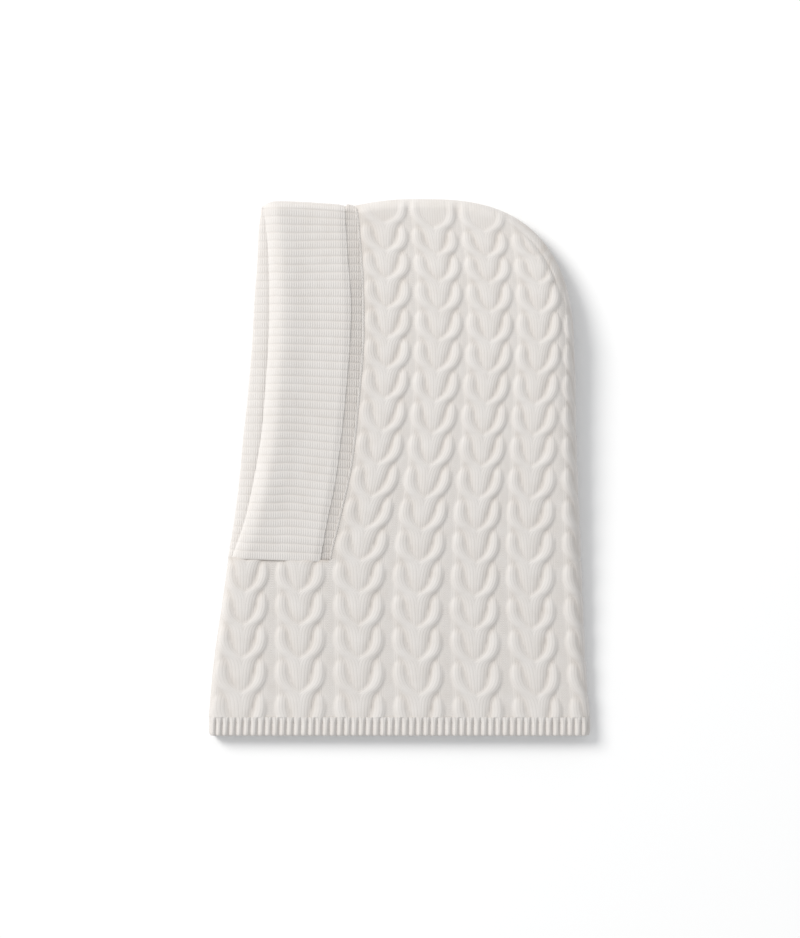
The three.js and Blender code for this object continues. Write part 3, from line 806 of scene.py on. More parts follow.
def build_body(settings, material):
    cloth = Cloth()
    near = np.linspace(FRONT_FOLD, BACK_FOLD, round((BACK_FOLD - FRONT_FOLD) * LINES_PER_COLUMN) + 1)
    far = near[::2]
    within = near[::INNER_LINE_STEP]
    near_seam = int(np.argmin(np.abs(near - SEAM_COLUMN)))
    far_seam = near_seam // 2
    inner_seam = near_seam // INNER_LINE_STEP
    upper, _ = outer_layer(cloth, 1, near, near_seam, settings)
    lower, lower_values = outer_layer(cloth, -1, far, far_seam, settings)
    join_at_crown(cloth, upper[1][:, -1], lower[1], lower_values)
    inner_upper, inner_lower = [inner_layer(cloth, side, within, inner_seam, settings) for side in (1, -1)]
    inner_hem = hem_ring(inner_upper, inner_lower, within, within)
    cloth.add_rim(hem_ring(upper, lower, near, far), inner_hem)
    inner_face = face_ring(inner_upper, inner_lower, inner_seam, inner_seam)
    cloth.add_rim(face_ring(upper, lower, near_seam, far_seam), inner_face)
    return cloth.make("knit_body", material)


# Wool. Heights here are shares of the stitches' relief, and scales count the noise's cells in a metre.

PURL_LOOP_HEIGHT = 1.3
PURL_ROW_WAVE = 0.22
# Painted shade: how far one share of painted shade blends the yarn towards the shade colour
DEPTH_SHADE = 0.46
FUZZ_SCALE = 1400.0
FUZZ_DETAIL = 3.0
FUZZ_HEIGHT = 0.35
MOTTLE_SCALE = 90.0
MOTTLE_DETAIL = 2.0
MOTTLE_SHADE = 0.4
WOOL_ROUGHNESS = 0.95
WOOL_SHINE = 0.15
WOOL_SHEEN = 0.25
WOOL_SHEEN_ROUGHNESS = 0.5


class Recipe:
    """A new material, and short ways to add steps to its node tree."""

    def __init__(self, name):
        self.material = bpy.data.materials.new(name)
        self.material.use_nodes = True
        self.tree = self.material.node_tree
        self.tree.nodes.clear()

    def step(self, kind, **inputs):
        node = self.tree.nodes.new(kind)
        for key, value in inputs.items():
            self.feed(node.inputs[key.replace("_", " ")], value)
        return node

    def feed(self, socket, value):
        if hasattr(value, "is_output"):
            self.tree.links.new(value, socket)
        else:
            socket.default_value = value

    def maths(self, operation, a, b=0.0, c=0.0):
        node = self.tree.nodes.new("ShaderNodeMath")
        node.operation = operation
        for socket, value in zip(node.inputs, (a, b, c)):
            self.feed(socket, value)
        return node.outputs[0]

    def wave(self, place):
        """The height of rounded humps, one for each step of a place."""
        return self.maths("ABSOLUTE", self.maths("SINE", self.maths("MULTIPLY", place, math.pi)))

    def uv(self, name):
        node = self.tree.nodes.new("ShaderNodeUVMap")
        node.uv_map = name
        split = self.step("ShaderNodeSeparateXYZ", Vector=node.outputs["UV"])
        return split.outputs["X"], split.outputs["Y"]

    def blend(self, share, a, b):
        node = self.tree.nodes.new("ShaderNodeMix")
        node.data_type = "RGBA"
        self.feed(node.inputs[0], share)
        self.feed(node.inputs[6], a)
        self.feed(node.inputs[7], b)
        return node.outputs[2]

    def noise(self, scale, detail):
        place = self.tree.nodes.new("ShaderNodeTexCoord").outputs["Object"]
        node = self.step("ShaderNodeTexNoise", Vector=place, Scale=scale, Detail=detail)
        return node.outputs["Fac"]

    def surface(self, **inputs):
        """Ends the material with its one shader."""
        shader = self.step("ShaderNodeBsdfPrincipled", **inputs)
        self.step("ShaderNodeOutputMaterial", Surface=shader.outputs[0])
        return self.material


def stockinette(recipe, wale, course, slant, notch):
    """Height of smooth knit: columns of V stitches with a crease between them, notched at each stitch."""
    across = recipe.maths("ABSOLUTE", recipe.maths("MULTIPLY_ADD", recipe.maths("FRACT", wale), 2.0, -1.0))
    round_wale = recipe.maths("SUBTRACT", 1.0, recipe.maths("POWER", across, 3.0))
    stitch = recipe.wave(recipe.maths("MULTIPLY_ADD", across, slant, course))
    stitched = recipe.maths("MULTIPLY_ADD", stitch, notch, 1.0 - notch)
    return recipe.maths("MULTIPLY", round_wale, stitched)


def purl_rows(recipe, wale, course):
    """Height of purl knit: wavy rows of interlocked loops."""
    wave = recipe.maths("SINE", recipe.maths("MULTIPLY", wale, 2 * math.pi))
    return recipe.wave(recipe.maths("MULTIPLY_ADD", wave, PURL_ROW_WAVE, course))


def make_wool(name, settings, bump, slant=0.55, notch=0.4, stitch_crease_shade=0.16):
    """Soft wool with its stitches as fine relief, and with painted shade, darker and warmer, in the creases
    between the stitches and where the knit lies deep. bump is the height of the relief in metres, slant how
    far a stitch rises to its edge, and notch how deep the rows of stitches are cut."""
    recipe = Recipe(name)
    maths = recipe.maths
    wale, course = recipe.uv("Stitches")
    purl, painted_shade = recipe.uv("Knit")
    smooth = stockinette(recipe, wale, course, slant, notch)
    rows = maths("MULTIPLY", purl_rows(recipe, wale, course), PURL_LOOP_HEIGHT)
    stitches = maths("MULTIPLY_ADD", rows, purl, maths("MULTIPLY", smooth, maths("SUBTRACT", 1.0, purl)))
    height = maths("MULTIPLY_ADD", recipe.noise(FUZZ_SCALE, FUZZ_DETAIL), FUZZ_HEIGHT, stitches)
    # Painted shade in the creases between the stitches
    crease = maths("MULTIPLY", maths("SUBTRACT", 1.0, stitches), stitch_crease_shade)
    mottle = maths("SUBTRACT", recipe.noise(MOTTLE_SCALE, MOTTLE_DETAIL), 0.5)
    # Random mottle, with the painted shade of the depth share and of the stitch creases, sets how far the
    # yarn is blended towards the shade colour
    mottle_and_painted_shade = maths("MULTIPLY_ADD", mottle, MOTTLE_SHADE, maths("MULTIPLY_ADD", painted_shade, DEPTH_SHADE, crease))
    share = maths("MINIMUM", maths("MAXIMUM", mottle_and_painted_shade, 0.0), 1.0)
    relief = recipe.step("ShaderNodeBump", Height=height, Strength=1.0, Distance=bump)
    return recipe.surface(
        Base_Color=recipe.blend(share, tuple(settings.yarn_colour), tuple(settings.painted_shade_colour)),
        Normal=relief.outputs[0],
        Roughness=WOOL_ROUGHNESS,
        Specular_IOR_Level=WOOL_SHINE,
        Sheen_Weight=WOOL_SHEEN,
        Sheen_Roughness=WOOL_SHEEN_ROUGHNESS,
    )


# Face band

BAND_POINTS_PER_RIB = 8
BAND_FAR_POINTS_PER_RIB = 5
BAND_COURSE = 1.73
FAR_INNER_FACE = BAND_STACK

# The free edge of the turned-back layer, and the strip that shows between it and the seam
EDGE_LIFT = 0.1
EDGE_LIFT_REACH = 16.0
EDGE_THICKNESS = 0.22
EDGE_ROLL = 0.95
EDGE_ROLL_REACH = 4.5
EDGE_THINNING = 14.0
STRIP_GAP = 0.05
STRIP_CLIMB = 1.6
STRIP_RISE = 2.2
STRIP_RISE_REACH = 2.0
# Painted shadow of the turned-back layer on the strip: darkest at the free edge, fading towards the seam
STRIP_SHADE = 0.6
STRIP_SHADE_AT_SEAM = 0.05

# The ribs and the grooves between them, and the painted shade in the grooves
GROOVE_HALF = 0.11
RIB_BOW = 0.3
GROOVE_SHADE = 0.12
INNER_RIBS = 0.35
RIB_FADE_AT_FOLD = 12.0
LEAST_RIBS = 0.15

# How the ribs climb across the band: about a line, less near the fold and not at all at the band's ends
CLIMB_LINE = 75.0
CLIMB_START = 60.0
CLIMB_START_WIDTH = 20.0
LEAST_CLIMB = 0.15
CLIMB_END_SHARE = 0.06

# The fold: how it draws in over the top of the head, how it sinks and puffs up beside it
FOLD_CORNER = 7.5
FOLD_CORNER_TURN = 9.5
FOLD_CORNER_START = 2.0
FOLD_CORNER_REACH = 26.0
FOLD_CORNER_POWER = 1.5
FOLD_DROP = 4.5
FOLD_DROP_REACH = 13.0
LEAST_FOLD_DROP = 0.6
FOLD_PUFF = 2.3
FOLD_PUFF_AT = 11.0
FOLD_PUFF_REACH = 15.0
FOLD_START_SHARE = 0.2
FOLD_THINNING = 0.25
FAR_LIFT_START = 1.5
FAR_LIFT_FADE = 40.0

# The band's lower end, which hangs a little over the cut below the face opening
NEAR_SIDE_TURN = 0.01
END_SHARE = 0.1
END_GAP = 0.05
END_OVERHANG = 0.8
END_OVERHANG_START = 20.0
END_OVERHANG_REACH = 65.0
END_DROP = 0.8
END_DROP_SHARE = 0.06


def near_inner_face(height, wall):
    return read(LAY_TABLE, "liftFront", height) - wall


def band_top_at(x):
    share = np.maximum((x - BAND_TOP_START) / BAND_TOP_REACH, 0)
    return BAND_TOP_HEIGHT - BAND_TOP_DIP * share**BAND_TOP_POWER


def band_section(height, fold_name, fold_reach):
    """The doubled band's section at heights, from the free edge over the turned-back layer and the fold
    to the seam and back: places across, distances out from its inner face, and which points lie on the
    turned-back layer and on the strip that shows beside its free edge."""
    seam = read(COLUMN_TABLE, "seam", height) - SEAM_GAP
    free = read(BAND_TABLE, "freeEdge", height)
    fold = read(BAND_TABLE, fold_name, height)
    under = BAND_STACK - EDGE_ROLL - EDGE_THICKNESS

    def run(x_from, x_to, out_from, out_to, count, power=1):
        share = np.linspace(0, 1, count, endpoint=False)[None, :]
        return mix(x_from, x_to, share), mix(out_from, out_to, share**power) + 0 * height

    def turn(x_centre, out_centre, x_reach, out_reach, start, end, count):
        angle = np.linspace(start, end, count, endpoint=False)[None, :]
        return x_centre + x_reach * np.cos(angle), out_centre + out_reach * np.sin(angle) + 0 * height

    edge = EDGE_THICKNESS / 2
    half_pi = math.pi / 2
    strip_top = under - STRIP_GAP
    thinned = free - EDGE_THINNING
    slit = BAND_LAYER + BAND_LAYER_GAP / 2
    slit_end = fold + 2 * fold_reach
    turned = fold + fold_reach
    # Each run, and whether it lies on the turned-back layer (1), on the strip (2) or elsewhere (0)
    parts = [
        (turn(free - edge, under + edge, edge, edge, 0, half_pi, 4), 1),
        (run(free - edge, free - EDGE_ROLL_REACH, BAND_STACK - EDGE_ROLL, BAND_STACK, 4), 1),
        (run(free - EDGE_ROLL_REACH, turned, BAND_STACK, BAND_STACK, 28), 1),
        (turn(turned, BAND_STACK / 2, fold_reach, BAND_STACK / 2, half_pi, 3 * half_pi, 10), 0),
        (run(turned, seam, 0, 0, 12), 0),
        (run(seam, seam, 0, BAND_LAYER, 2), 0),
        (run(seam, free - edge, BAND_LAYER, strip_top, 12, STRIP_CLIMB), 2),
        (run(free - edge, thinned, strip_top, slit, 3), 0),
        (run(thinned, slit_end, slit, BAND_STACK / 2, 3), 0),
        (run(slit_end, thinned, BAND_STACK / 2, slit + STRIP_GAP, 3), 0),
        (run(thinned, free - edge, slit + STRIP_GAP, under, 3), 0),
        (turn(free - edge, under + edge, edge, edge, -half_pi, 0, 3), 1),
    ]
    x = np.concatenate([part[0] + 0 * height for part, _ in parts], axis=1)
    out = np.concatenate([part[1] for part, _ in parts], axis=1)
    kind = np.concatenate([np.full(part[1].shape[1], mark) for part, mark in parts])
    return x, out, kind == 1, kind == 2


def band_stations(wall, pitch):
    """Even steps up the near side, over the top of the head and down the far side."""
    end = NOTCH_HEIGHT + PIECE_GAP
    reach = (near_inner_face(BAND_TOP_HEIGHT, wall) - FAR_INNER_FACE) / 2 + BAND_STACK
    start = BAND_TOP_HEIGHT - BAND_TOP_SQUASH * reach
    ribs = round((start - end) / pitch)
    near = np.linspace(0, 1, ribs * BAND_POINTS_PER_RIB, endpoint=False)
    over = np.linspace(0, 1, BAND_RIBS_OVER_TOP * BAND_POINTS_PER_RIB, endpoint=False)
    far = np.linspace(1, 0, ribs * BAND_FAR_POINTS_PER_RIB + 1)
    up = np.concatenate([near, np.ones(len(over)), far])
    turn = np.concatenate([0 * near, over * math.pi, np.full(len(far), math.pi)])
    ribs_before_far = ribs + BAND_RIBS_OVER_TOP
    rib = [near * ribs, ribs + over * BAND_RIBS_OVER_TOP, ribs_before_far + (1 - far) * ribs]
    return [each[:, None] for each in (mix(end, start, up), up, turn, np.concatenate(rib))]


def rib_profile(rib):
    """Relief of the ribs, 0 on their crests and 1 in the narrow grooves between them."""
    from_groove = np.abs(rib - np.round(rib))
    groove = bell(from_groove / GROOVE_HALF)
    return groove + RIB_BOW * (1 - np.sin(math.pi * from_groove)) * (1 - groove)


def build_band(settings, material):
    wall = settings.wall_thickness * 1000
    height, up, turn, rib = band_stations(wall, settings.band_rib_pitch * 1000)
    near_x, out, upper_layer, strip = band_section(height, "nearFold", NEAR_FOLD_REACH)
    far_x = band_section(height, "farFold", FAR_FOLD_REACH)[0]
    share = (1 + np.cos(turn)) / 2
    x = mix(far_x, near_x, share)
    over_top = np.sin(turn)
    from_fold = x - x.min(axis=1, keepdims=True)

    # The free edge stands off a little, and the fold draws in as it turns over the top of the head.
    free = read(BAND_TABLE, "freeEdge", height)
    lift = EDGE_LIFT * np.clip(1 - (free - x) / EDGE_LIFT_REACH, 0, 1) ** 2 * (1 - over_top)
    out = out + np.where(upper_layer, lift, 0)
    corner = np.clip((over_top * FOLD_CORNER_TURN - FOLD_CORNER_START) / FOLD_CORNER, 0, 1)
    draw = FOLD_CORNER * (1 - np.sqrt(1 - corner**2))
    x = x + draw * np.clip(1 - from_fold / FOLD_CORNER_REACH, 0, 1) ** FOLD_CORNER_POWER

    # Ribs, pressed into the section along its own outward direction
    dx = np.roll(x, -1, axis=1) - np.roll(x, 1, axis=1)
    dout = np.roll(out, -1, axis=1) - np.roll(out, 1, axis=1)
    size = np.maximum(np.hypot(dx, dout), 1e-9)
    shown = np.where(upper_layer | strip, 1, INNER_RIBS)
    fade = np.clip(from_fold / RIB_FADE_AT_FOLD, LEAST_RIBS, 1) * shown
    relief = rib_profile(rib) * settings.band_rib_height * 1000 * fade
    x = x - dout / size * relief
    out = out + dx / size * relief

    # Up the band: the climb of the ribs, the way over the top of the head, and the lower end
    climb = np.clip((x - CLIMB_START) / CLIMB_START_WIDTH + 0.5, LEAST_CLIMB, 1)
    climb = read(BAND_TABLE, "ribClimb", height) * climb
    inside = np.clip(up / CLIMB_END_SHARE, 0, 1) * np.clip((1 - up) / CLIMB_END_SHARE, 0, 1)
    tilt = climb * (x - CLIMB_LINE) * inside
    middle = (near_inner_face(height, wall) + FAR_INNER_FACE) / 2
    reach = (near_inner_face(height, wall) - FAR_INNER_FACE) / 2 + out
    dip = (BAND_TOP_HEIGHT - band_top_at(x)) * up
    y = height - dip + BAND_TOP_SQUASH * reach * over_top + tilt
    y = y + STRIP_RISE * np.clip((x - free) / STRIP_RISE_REACH, 0, 1) * strip * over_top
    near_side = turn < NEAR_SIDE_TURN
    at_end = np.clip(1 - up / END_SHARE, 0, 1)
    overhang = 1 + np.clip((x - END_OVERHANG_START) / END_OVERHANG_REACH, 0, 1)
    overhang = END_OVERHANG * overhang * upper_layer * near_side
    y = y + at_end * (notch_line(x) - NOTCH_HEIGHT - PIECE_GAP + END_GAP - overhang)

    # Off the table: the drop and the puff beside the fold, and the far layers that rise to the seam
    near_fold = share * np.clip(1 - from_fold / FOLD_DROP_REACH, 0, 1) ** 2
    reach = reach - out * FOLD_THINNING * near_fold
    drop = FOLD_DROP * near_fold * np.clip(up / FOLD_START_SHARE, LEAST_FOLD_DROP, 1)
    drop = drop + END_DROP * near_side * np.clip(1 - up / END_DROP_SHARE, 0, 1)
    puff = FOLD_PUFF * share * (1 - over_top) * bell((from_fold - FOLD_PUFF_AT) / FOLD_PUFF_REACH)
    puff = puff * np.clip(up / FOLD_START_SHARE, 0, 1)
    from_edge = np.clip(from_fold / FAR_FOLD_REACH, 0, 1)
    far_lift = FAR_FOLD_LIFT * (1 - share) * from_edge**2 * (3 - 2 * from_edge)
    far_lift = far_lift * np.clip(FAR_LIFT_START - from_fold / FAR_LIFT_FADE, 0, 1)
    z = np.maximum(middle + reach * np.cos(turn) - drop + puff + far_lift, 0)
    points = np.stack([x, y, z], axis=-1)

    course = x / BAND_COURSE
    seam = read(COLUMN_TABLE, "seam", height)
    # Painted shade: the strip darker towards the free edge, as the shadow of the turned-back layer, and the
    # ribs' grooves a little darker
    strip_shade = mix(STRIP_SHADE, STRIP_SHADE_AT_SEAM, np.clip((x - free) / (seam - free), 0, 1))
    groove = np.where(strip, strip_shade, (rib_profile(rib) + 0 * x) * fade * GROOVE_SHADE)
    cloth = Cloth()
    grids = [looped(each, 1) for each in (points, rib + 0 * course, course, groove)]
    ids = cloth.add_points(grids[0], grids[1], grids[2], 0, grids[3])
    cloth.add_grid(ids)
    for end in (0, -1):
        ring = ids[end, :-1]
        cloth.add_faces(np.array([[ring[a] for a in face] for face in end_strip(points[end])]))
    return cloth.make("ribbed_band", material)


def end_strip(section):
    """Triangles that close the cut end of the band, found by laying the section flat."""
    outline = [Vector((float(p[0]), float(p[2]), 0.0)) for p in section]
    return [list(face) for face in tessellate_polygon([outline])]


# Hem

HEM_POINTS_PER_RIB = 10
HEM_LOOP_STEPS = 1200
HEM_CORNER_DRAW = 2.0
HEM_CORNER_REACH = 24.0

# Height up the hem and how far the ribs stand out there, from the top edge round the lower one
HEM_OUTER_ROWS = (
    (14.0, 0.95),
    (13.2, 1),
    (12, 1),
    (10, 1),
    (8, 1),
    (6, 0.97),
    (4.2, 0.9),
    (2.7, 0.78),
    (1.5, 0.58),
    (0.6, 0.3),
    (0.05, -0.15),
)

# Height up the hem and how far in its inner face lies there, from the lower edge to the top one
HEM_INNER_ROWS = ((0.0, 1.4), (0.5, HEM_WALL), (7, HEM_WALL), (HEM_TOP, HEM_WALL), (HEM_TOP, 1.2))
HEM_INNER_PAINTED_SHADE = 0.7

# The ribs widen from the lower edge up. Their grooves close towards the body, and end in small scallops at
# the lower edge.
HEM_RIB_POWER_BELOW = 2.4
HEM_RIB_POWER_ABOVE = 1.1
HEM_RIB_POWER_HEIGHT = 11.0
HEM_GROOVE_DEPTH = 0.5
HEM_GROOVE_TOP = 10.0
HEM_GROOVE_RISE = 0.8
HEM_SCALLOP = 0.9
HEM_SCALLOP_HEIGHT = 4.0
# Painted shade: the grooves darker, more so low down, and the whole hem darker towards its lower edge
HEM_GROOVE_SHADE = 0.1
HEM_SHADE_BELOW = 1.2
HEM_SHADE_ABOVE = 0.35
HEM_EDGE_SHADE = 0.25


def hem_loop(count):
    """Even places round the neck's lower edge, with the way out at each."""
    share = np.linspace(0, 1, HEM_LOOP_STEPS, endpoint=False)
    fine = []
    for side, run in ((1, share), (-1, 1 - share)):
        x = place_across(mix(FRONT_FOLD, BACK_FOLD, run), BODY_BOTTOM)
        fine.append(np.stack([x, ground(side, x, np.full(x.shape, BODY_BOTTOM))], axis=-1))
    closed = looped(np.concatenate(fine), 0)
    lengths = np.concatenate([[0], np.cumsum(np.linalg.norm(np.diff(closed, axis=0), axis=1))])

    def along(distance):
        wanted = np.mod(distance, lengths[-1])
        return np.stack([np.interp(wanted, lengths, closed[:, k]) for k in (0, 1)], axis=-1)

    distance = np.arange(count) * lengths[-1] / count
    ahead, behind = along(distance + 1), along(distance - 1)
    tangent = (ahead - behind) / np.linalg.norm(ahead - behind, axis=1, keepdims=True)
    return along(distance), np.stack([-tangent[:, 1], tangent[:, 0]], axis=-1)


def hem_points(place, way_out, out, height):
    flare = 1 + HEM_FLARE * (1 - height / HEM_TOP)
    spot = place + way_out * out[:, None]
    x = HOOD_WIDTH / 2 + (spot[:, 0] - HOOD_WIDTH / 2) * flare
    x = x + HEM_CORNER_DRAW * np.clip(1 - x / HEM_CORNER_REACH, 0, 1) ** 2
    return np.stack([x, height, np.maximum(spot[:, 1], 0)], axis=-1)


def build_hem(settings, material):
    count = 2 * HEM_RIBS_PER_SIDE * HEM_POINTS_PER_RIB
    place, way_out = hem_loop(count)
    phase = (np.arange(count) / HEM_POINTS_PER_RIB) % 1
    crest = np.abs(np.sin(math.pi * (phase + 0.5)))
    rib_height = settings.hem_rib_height * 1000
    lines, painted_shades = [], []
    for height, stand in HEM_OUTER_ROWS:
        up = height / HEM_TOP
        widened = min(height / HEM_RIB_POWER_HEIGHT, 1)
        narrow = crest ** mix(HEM_RIB_POWER_BELOW, HEM_RIB_POWER_ABOVE, widened)
        closing = np.clip((height - HEM_GROOVE_TOP) / (HEM_TOP - HEM_GROOVE_TOP), 0, 1)
        narrow = mix(narrow, 1, HEM_GROOVE_RISE * closing)
        out = rib_height * (narrow * max(stand, 0) + min(stand, 0)) - HEM_GROOVE_DEPTH * (1 - narrow)
        scallop = (1 - crest) * HEM_SCALLOP * np.clip(1 - height / HEM_SCALLOP_HEIGHT, 0, 1)
        lines.append(hem_points(place, way_out, out, np.full(count, height) + scallop))
        # Painted shade in the grooves and towards the lower edge
        groove = HEM_GROOVE_SHADE * (1 - narrow) * mix(HEM_SHADE_BELOW, HEM_SHADE_ABOVE, up)
        painted_shades.append(groove + HEM_EDGE_SHADE * (1 - up))
    for height, inset in HEM_INNER_ROWS:
        lines.append(hem_points(place, way_out, np.full(count, -inset), np.full(count, height)))
        painted_shades.append(np.full(count, HEM_INNER_PAINTED_SHADE))
    grid, painted_shade = [looped(looped(np.stack(each), 0), 1) for each in (lines, painted_shades)]
    wale = np.arange(count + 1)[None, :] / HEM_POINTS_PER_RIB * 2 + 0 * painted_shade
    course = grid[..., 1] / (settings.course_height * 1000)
    cloth = Cloth()
    cloth.add_grid(cloth.add_points(grid, wale, course, 0, painted_shade))
    return cloth.make("ribbed_hem", material)


# Seam

SEAM_ABOVE_NOTCH = 2
SEAM_BELOW_TOP = 9
SEAM_LINK_PITCH = 2.3
SEAM_BESIDE_LINE = 0.2
SEAM_LIFT = 0.06
SEAM_OFF_TABLE = 0.05
# Painted shade on the chain links, a little darker
SEAM_PAINTED_SHADE = 0.1
LINK_HALF_LENGTH = 1.2
LINK_HALF_WIDTH = 0.44
LINK_RADIUS = 0.38
LINK_POINTS = 12
LINK_TUBE_POINTS = 7


def build_seam(material):
    """A chain of small links along the face seam, on the near side, over the top and on the far side."""
    heights = np.arange(NOTCH_HEIGHT + SEAM_ABOVE_NOTCH, HOOD_LENGTH - SEAM_BELOW_TOP, SEAM_LINK_PITCH)
    around = np.arange(LINK_POINTS)[:, None] * 2 * math.pi / LINK_POINTS
    round_tube = np.arange(LINK_TUBE_POINTS)[None, :] * 2 * math.pi / LINK_TUBE_POINTS
    ring_x = np.cos(around) * (LINK_HALF_WIDTH + LINK_RADIUS * np.cos(round_tube))
    ring_y = np.sin(around) * (LINK_HALF_LENGTH + LINK_RADIUS * np.cos(round_tube))
    ring_z = LINK_RADIUS * np.sin(round_tube) + 0 * ring_x
    cloth = Cloth()
    for side in (1, -1):
        x = place_across(SEAM_COLUMN, heights) + SEAM_BESIDE_LINE
        lift = ground(side, x, heights) + (SEAM_LIFT if side > 0 else 0.0)
        slope = np.gradient(x, heights)
        for centre_x, centre_y, centre_z, lean in zip(x, heights, lift, slope):
            z = np.maximum(centre_z + ring_z, SEAM_OFF_TABLE)
            points = np.stack([centre_x + ring_x + lean * ring_y, centre_y + ring_y, z], axis=-1)
            closed = looped(looped(points, 0), 1)
            cloth.add_grid(cloth.add_points(closed, closed[..., 0], closed[..., 1], 0, SEAM_PAINTED_SHADE))
    return cloth.make("seam_chain", material)


# Scene, with its lengths in metres

PIXEL = 0.00075
IMAGE_SIZE = (800, 938)
IMAGE_CENTRE = (0.00125, -0.00125)
CAMERA_DISTANCE = 3.0
CAMERA_SEES_TO = 20.0
LENS_SENSOR = 36.0
SUBJECT_LEVEL = 0.012
TABLE_SIZE = 8
TABLE_ROUGHNESS = 0.9
TABLE_SHINE = 0.1
FILL_COLOUR = (0.97, 0.985, 1.0, 1.0)
KEY_COLOUR = (1.0, 0.985, 0.965)
KEY_PLACE = (-3.8, 2.9, 3.75)
KEY_SIZE = 2.9


def build_stage(settings):
    for piece in bpy.context.scene.objects:
        piece.select_set(False)
    bpy.ops.mesh.primitive_plane_add(size=1.0, location=(0, 0, 0))
    floor = bpy.context.object
    floor.name = "studio_table"
    floor.scale = (TABLE_SIZE, TABLE_SIZE, 1)
    bpy.ops.object.transform_apply(location=True, rotation=True, scale=True)
    table_finish = Recipe("white_table").surface(
        Base_Color=tuple(settings.floor_colour), Roughness=TABLE_ROUGHNESS, Specular_IOR_Level=TABLE_SHINE
    )
    floor.data.materials.append(table_finish)

    world = bpy.data.worlds.new("studio")
    bpy.context.scene.world = world
    world.use_nodes = True
    background = world.node_tree.nodes["Background"]
    background.inputs["Color"].default_value = FILL_COLOUR
    background.inputs["Strength"].default_value = settings.fill_strength

    key = bpy.data.lights.new("key_light", "AREA")
    key.shape = "DISK"
    key.size = KEY_SIZE
    key.energy = settings.key_strength
    key.color = KEY_COLOUR
    light = bpy.data.objects.new("key_light", key)
    bpy.context.scene.collection.objects.link(light)
    light.location = KEY_PLACE
    light.rotation_euler = (-Vector(KEY_PLACE)).to_track_quat("-Z", "Y").to_euler()

    camera_data = bpy.data.cameras.new("overhead")
    camera = bpy.data.objects.new("overhead", camera_data)
    bpy.context.scene.collection.objects.link(camera)
    camera.location = (*IMAGE_CENTRE, SUBJECT_LEVEL + CAMERA_DISTANCE)
    camera_data.sensor_width = LENS_SENSOR
    camera_data.lens = LENS_SENSOR * CAMERA_DISTANCE / (IMAGE_SIZE[1] * PIXEL)
    camera_data.clip_end = CAMERA_SEES_TO
    bpy.context.scene.camera = camera
    bpy.context.scene.view_settings.view_transform = "Standard"
    bpy.context.scene.view_settings.look = "None"


# Sizes, colours and operators


class KnitHoodSettings(bpy.types.PropertyGroup):
    wall_thickness: bpy.props.FloatProperty(
        name="Wall thickness",
        description="Thickness of the knit between the cables",
        default=0.0021,
        min=0.0005,
        unit="LENGTH",
    )
    cable_height: bpy.props.FloatProperty(
        name="Cable height",
        description="How far the cables stand out of the purl ground",
        default=0.0019,
        min=0.0,
        unit="LENGTH",
    )
    wale_width: bpy.props.FloatProperty(
        name="Wale width",
        description="Width of one column of stitches",
        default=0.00184,
        min=0.0005,
        unit="LENGTH",
    )
    course_height: bpy.props.FloatProperty(
        name="Course height",
        description="Height of one row of stitches",
        default=0.0013,
        min=0.0005,
        unit="LENGTH",
    )
    band_rib_pitch: bpy.props.FloatProperty(
        name="Band rib pitch",
        description="Distance from rib to rib along the face band",
        default=0.00605,
        min=0.002,
        unit="LENGTH",
    )
    band_rib_height: bpy.props.FloatProperty(
        name="Band rib height",
        description="Depth of the grooves between the face band's ribs",
        default=0.00014,
        min=0.0,
        unit="LENGTH",
    )
    hem_rib_height: bpy.props.FloatProperty(
        name="Hem rib height",
        description="How far the hem's ribs stand out",
        default=0.0016,
        min=0.0,
        unit="LENGTH",
    )
    yarn_colour: bpy.props.FloatVectorProperty(
        name="Yarn",
        description="Colour of the wool on the crests",
        subtype="COLOR",
        size=4,
        min=0.0,
        max=1.0,
        default=(0.7, 0.672, 0.647, 1.0),
    )
    # Painted shade: the darker, warmer colour that the yarn is blended towards where the knit lies deep,
    # standing in for the shade there
    painted_shade_colour: bpy.props.FloatVectorProperty(
        name="Creases",
        description="Colour of the wool deep in the knit",
        subtype="COLOR",
        size=4,
        min=0.0,
        max=1.0,
        default=(0.53, 0.475, 0.423, 1.0),
    )
    floor_colour: bpy.props.FloatVectorProperty(
        name="Table",
        description="Colour of the table the hood lies on",
        subtype="COLOR",
        size=4,
        min=0.0,
        max=1.0,
        default=(0.945, 0.945, 0.945, 1.0),
    )
    key_strength: bpy.props.FloatProperty(
        name="Key light",
        description="Power of the soft light from the upper left, in watts",
        default=292.0,
        min=0.0,
    )
    fill_strength: bpy.props.FloatProperty(
        name="Fill light",
        description="Strength of the even light from all round",
        default=0.655,
        min=0.0,
    )


def finish_piece(piece, node):
    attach(piece, "root")
    if node:
        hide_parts(node)


class KNITHOOD_OT_body(bpy.types.Operator):
    """Knit the head and neck in one piece, with its cables and purl gaps"""

    bl_idname = "knit_hood.body"
    bl_label = "Cable-knit body"

    def execute(self, context):
        settings = context.scene.knit_hood
        body = build_body(settings, make_wool("cable_wool", settings, bump=0.00013, stitch_crease_shade=0.12))
        finish_piece(body, "hood_body")
        return {"FINISHED"}


class KNITHOOD_OT_band(bpy.types.Operator):
    """Knit the ribbed strip round the face opening and turn it back on itself"""

    bl_idname = "knit_hood.band"
    bl_label = "Ribbed face band"

    def execute(self, context):
        settings = context.scene.knit_hood
        wool = make_wool("band_wool", settings, bump=0.0003, slant=0.12, notch=0.7, stitch_crease_shade=0.2)
        band = build_band(settings, wool)
        finish_piece(band, "face_band")
        return {"FINISHED"}


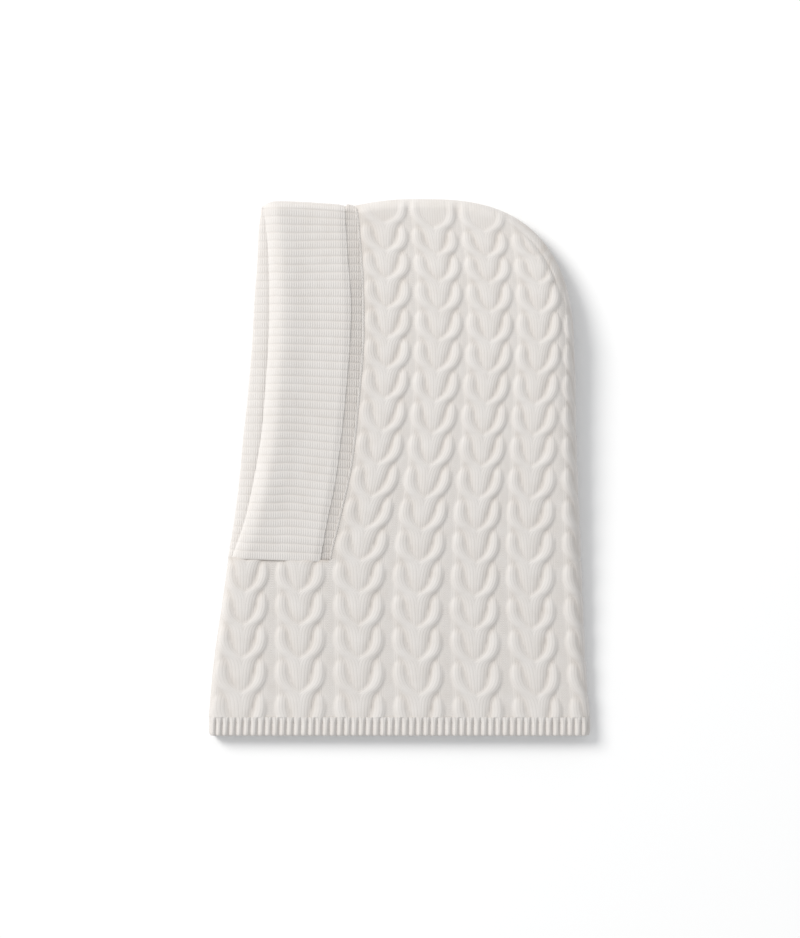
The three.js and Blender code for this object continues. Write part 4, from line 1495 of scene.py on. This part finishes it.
class KNITHOOD_OT_hem(bpy.types.Operator):
    """Knit the narrow ribbed edge at the lower end of the neck"""

    bl_idname = "knit_hood.hem"
    bl_label = "Ribbed hem"

    def execute(self, context):
        settings = context.scene.knit_hood
        hem = build_hem(settings, make_wool("hem_wool", settings, bump=0.0003))
        finish_piece(hem, "hem_rib")
        return {"FINISHED"}


class KNITHOOD_OT_seam(bpy.types.Operator):
    """Work the chain of stitches along the face seam"""

    bl_idname = "knit_hood.seam"
    bl_label = "Seam chain"

    def execute(self, context):
        settings = context.scene.knit_hood
        chain = build_seam(make_wool("seam_wool", settings, bump=0.0001))
        finish_piece(chain, None)
        return {"FINISHED"}


class KNITHOOD_OT_stage(bpy.types.Operator):
    """Set the table, the soft light and the camera above the hood"""

    bl_idname = "knit_hood.stage"
    bl_label = "Table, light and camera"

    def execute(self, context):
        build_stage(context.scene.knit_hood)
        return {"FINISHED"}


class KNITHOOD_PT_panel(bpy.types.Panel):
    """The hood's sizes, colours and pieces"""

    bl_idname = "KNITHOOD_PT_panel"
    bl_label = "Knit Hood"
    bl_space_type = "VIEW_3D"
    bl_region_type = "UI"
    bl_category = "Knit Hood"

    def draw(self, context):
        settings = context.scene.knit_hood
        for name in settings.bl_rna.properties.keys():
            if name not in ("rna_type", "name"):
                self.layout.prop(settings, name)
        for operator in OPERATORS:
            self.layout.operator(operator.bl_idname)


OPERATORS = (KNITHOOD_OT_stage, KNITHOOD_OT_body, KNITHOOD_OT_band, KNITHOOD_OT_hem, KNITHOOD_OT_seam)
CLASSES = (KnitHoodSettings, *OPERATORS, KNITHOOD_PT_panel)


def register():
    for each in CLASSES:
        bpy.utils.register_class(each)
    bpy.types.Scene.knit_hood = bpy.props.PointerProperty(type=KnitHoodSettings)


def unregister():
    del bpy.types.Scene.knit_hood
    for each in reversed(CLASSES):
        bpy.utils.unregister_class(each)


def main():
    register()
    bpy.ops.knit_hood.stage()
    bpy.ops.knit_hood.body()
    bpy.ops.knit_hood.band()
    bpy.ops.knit_hood.hem()
    bpy.ops.knit_hood.seam()


if __name__ == "__main__":
    main()
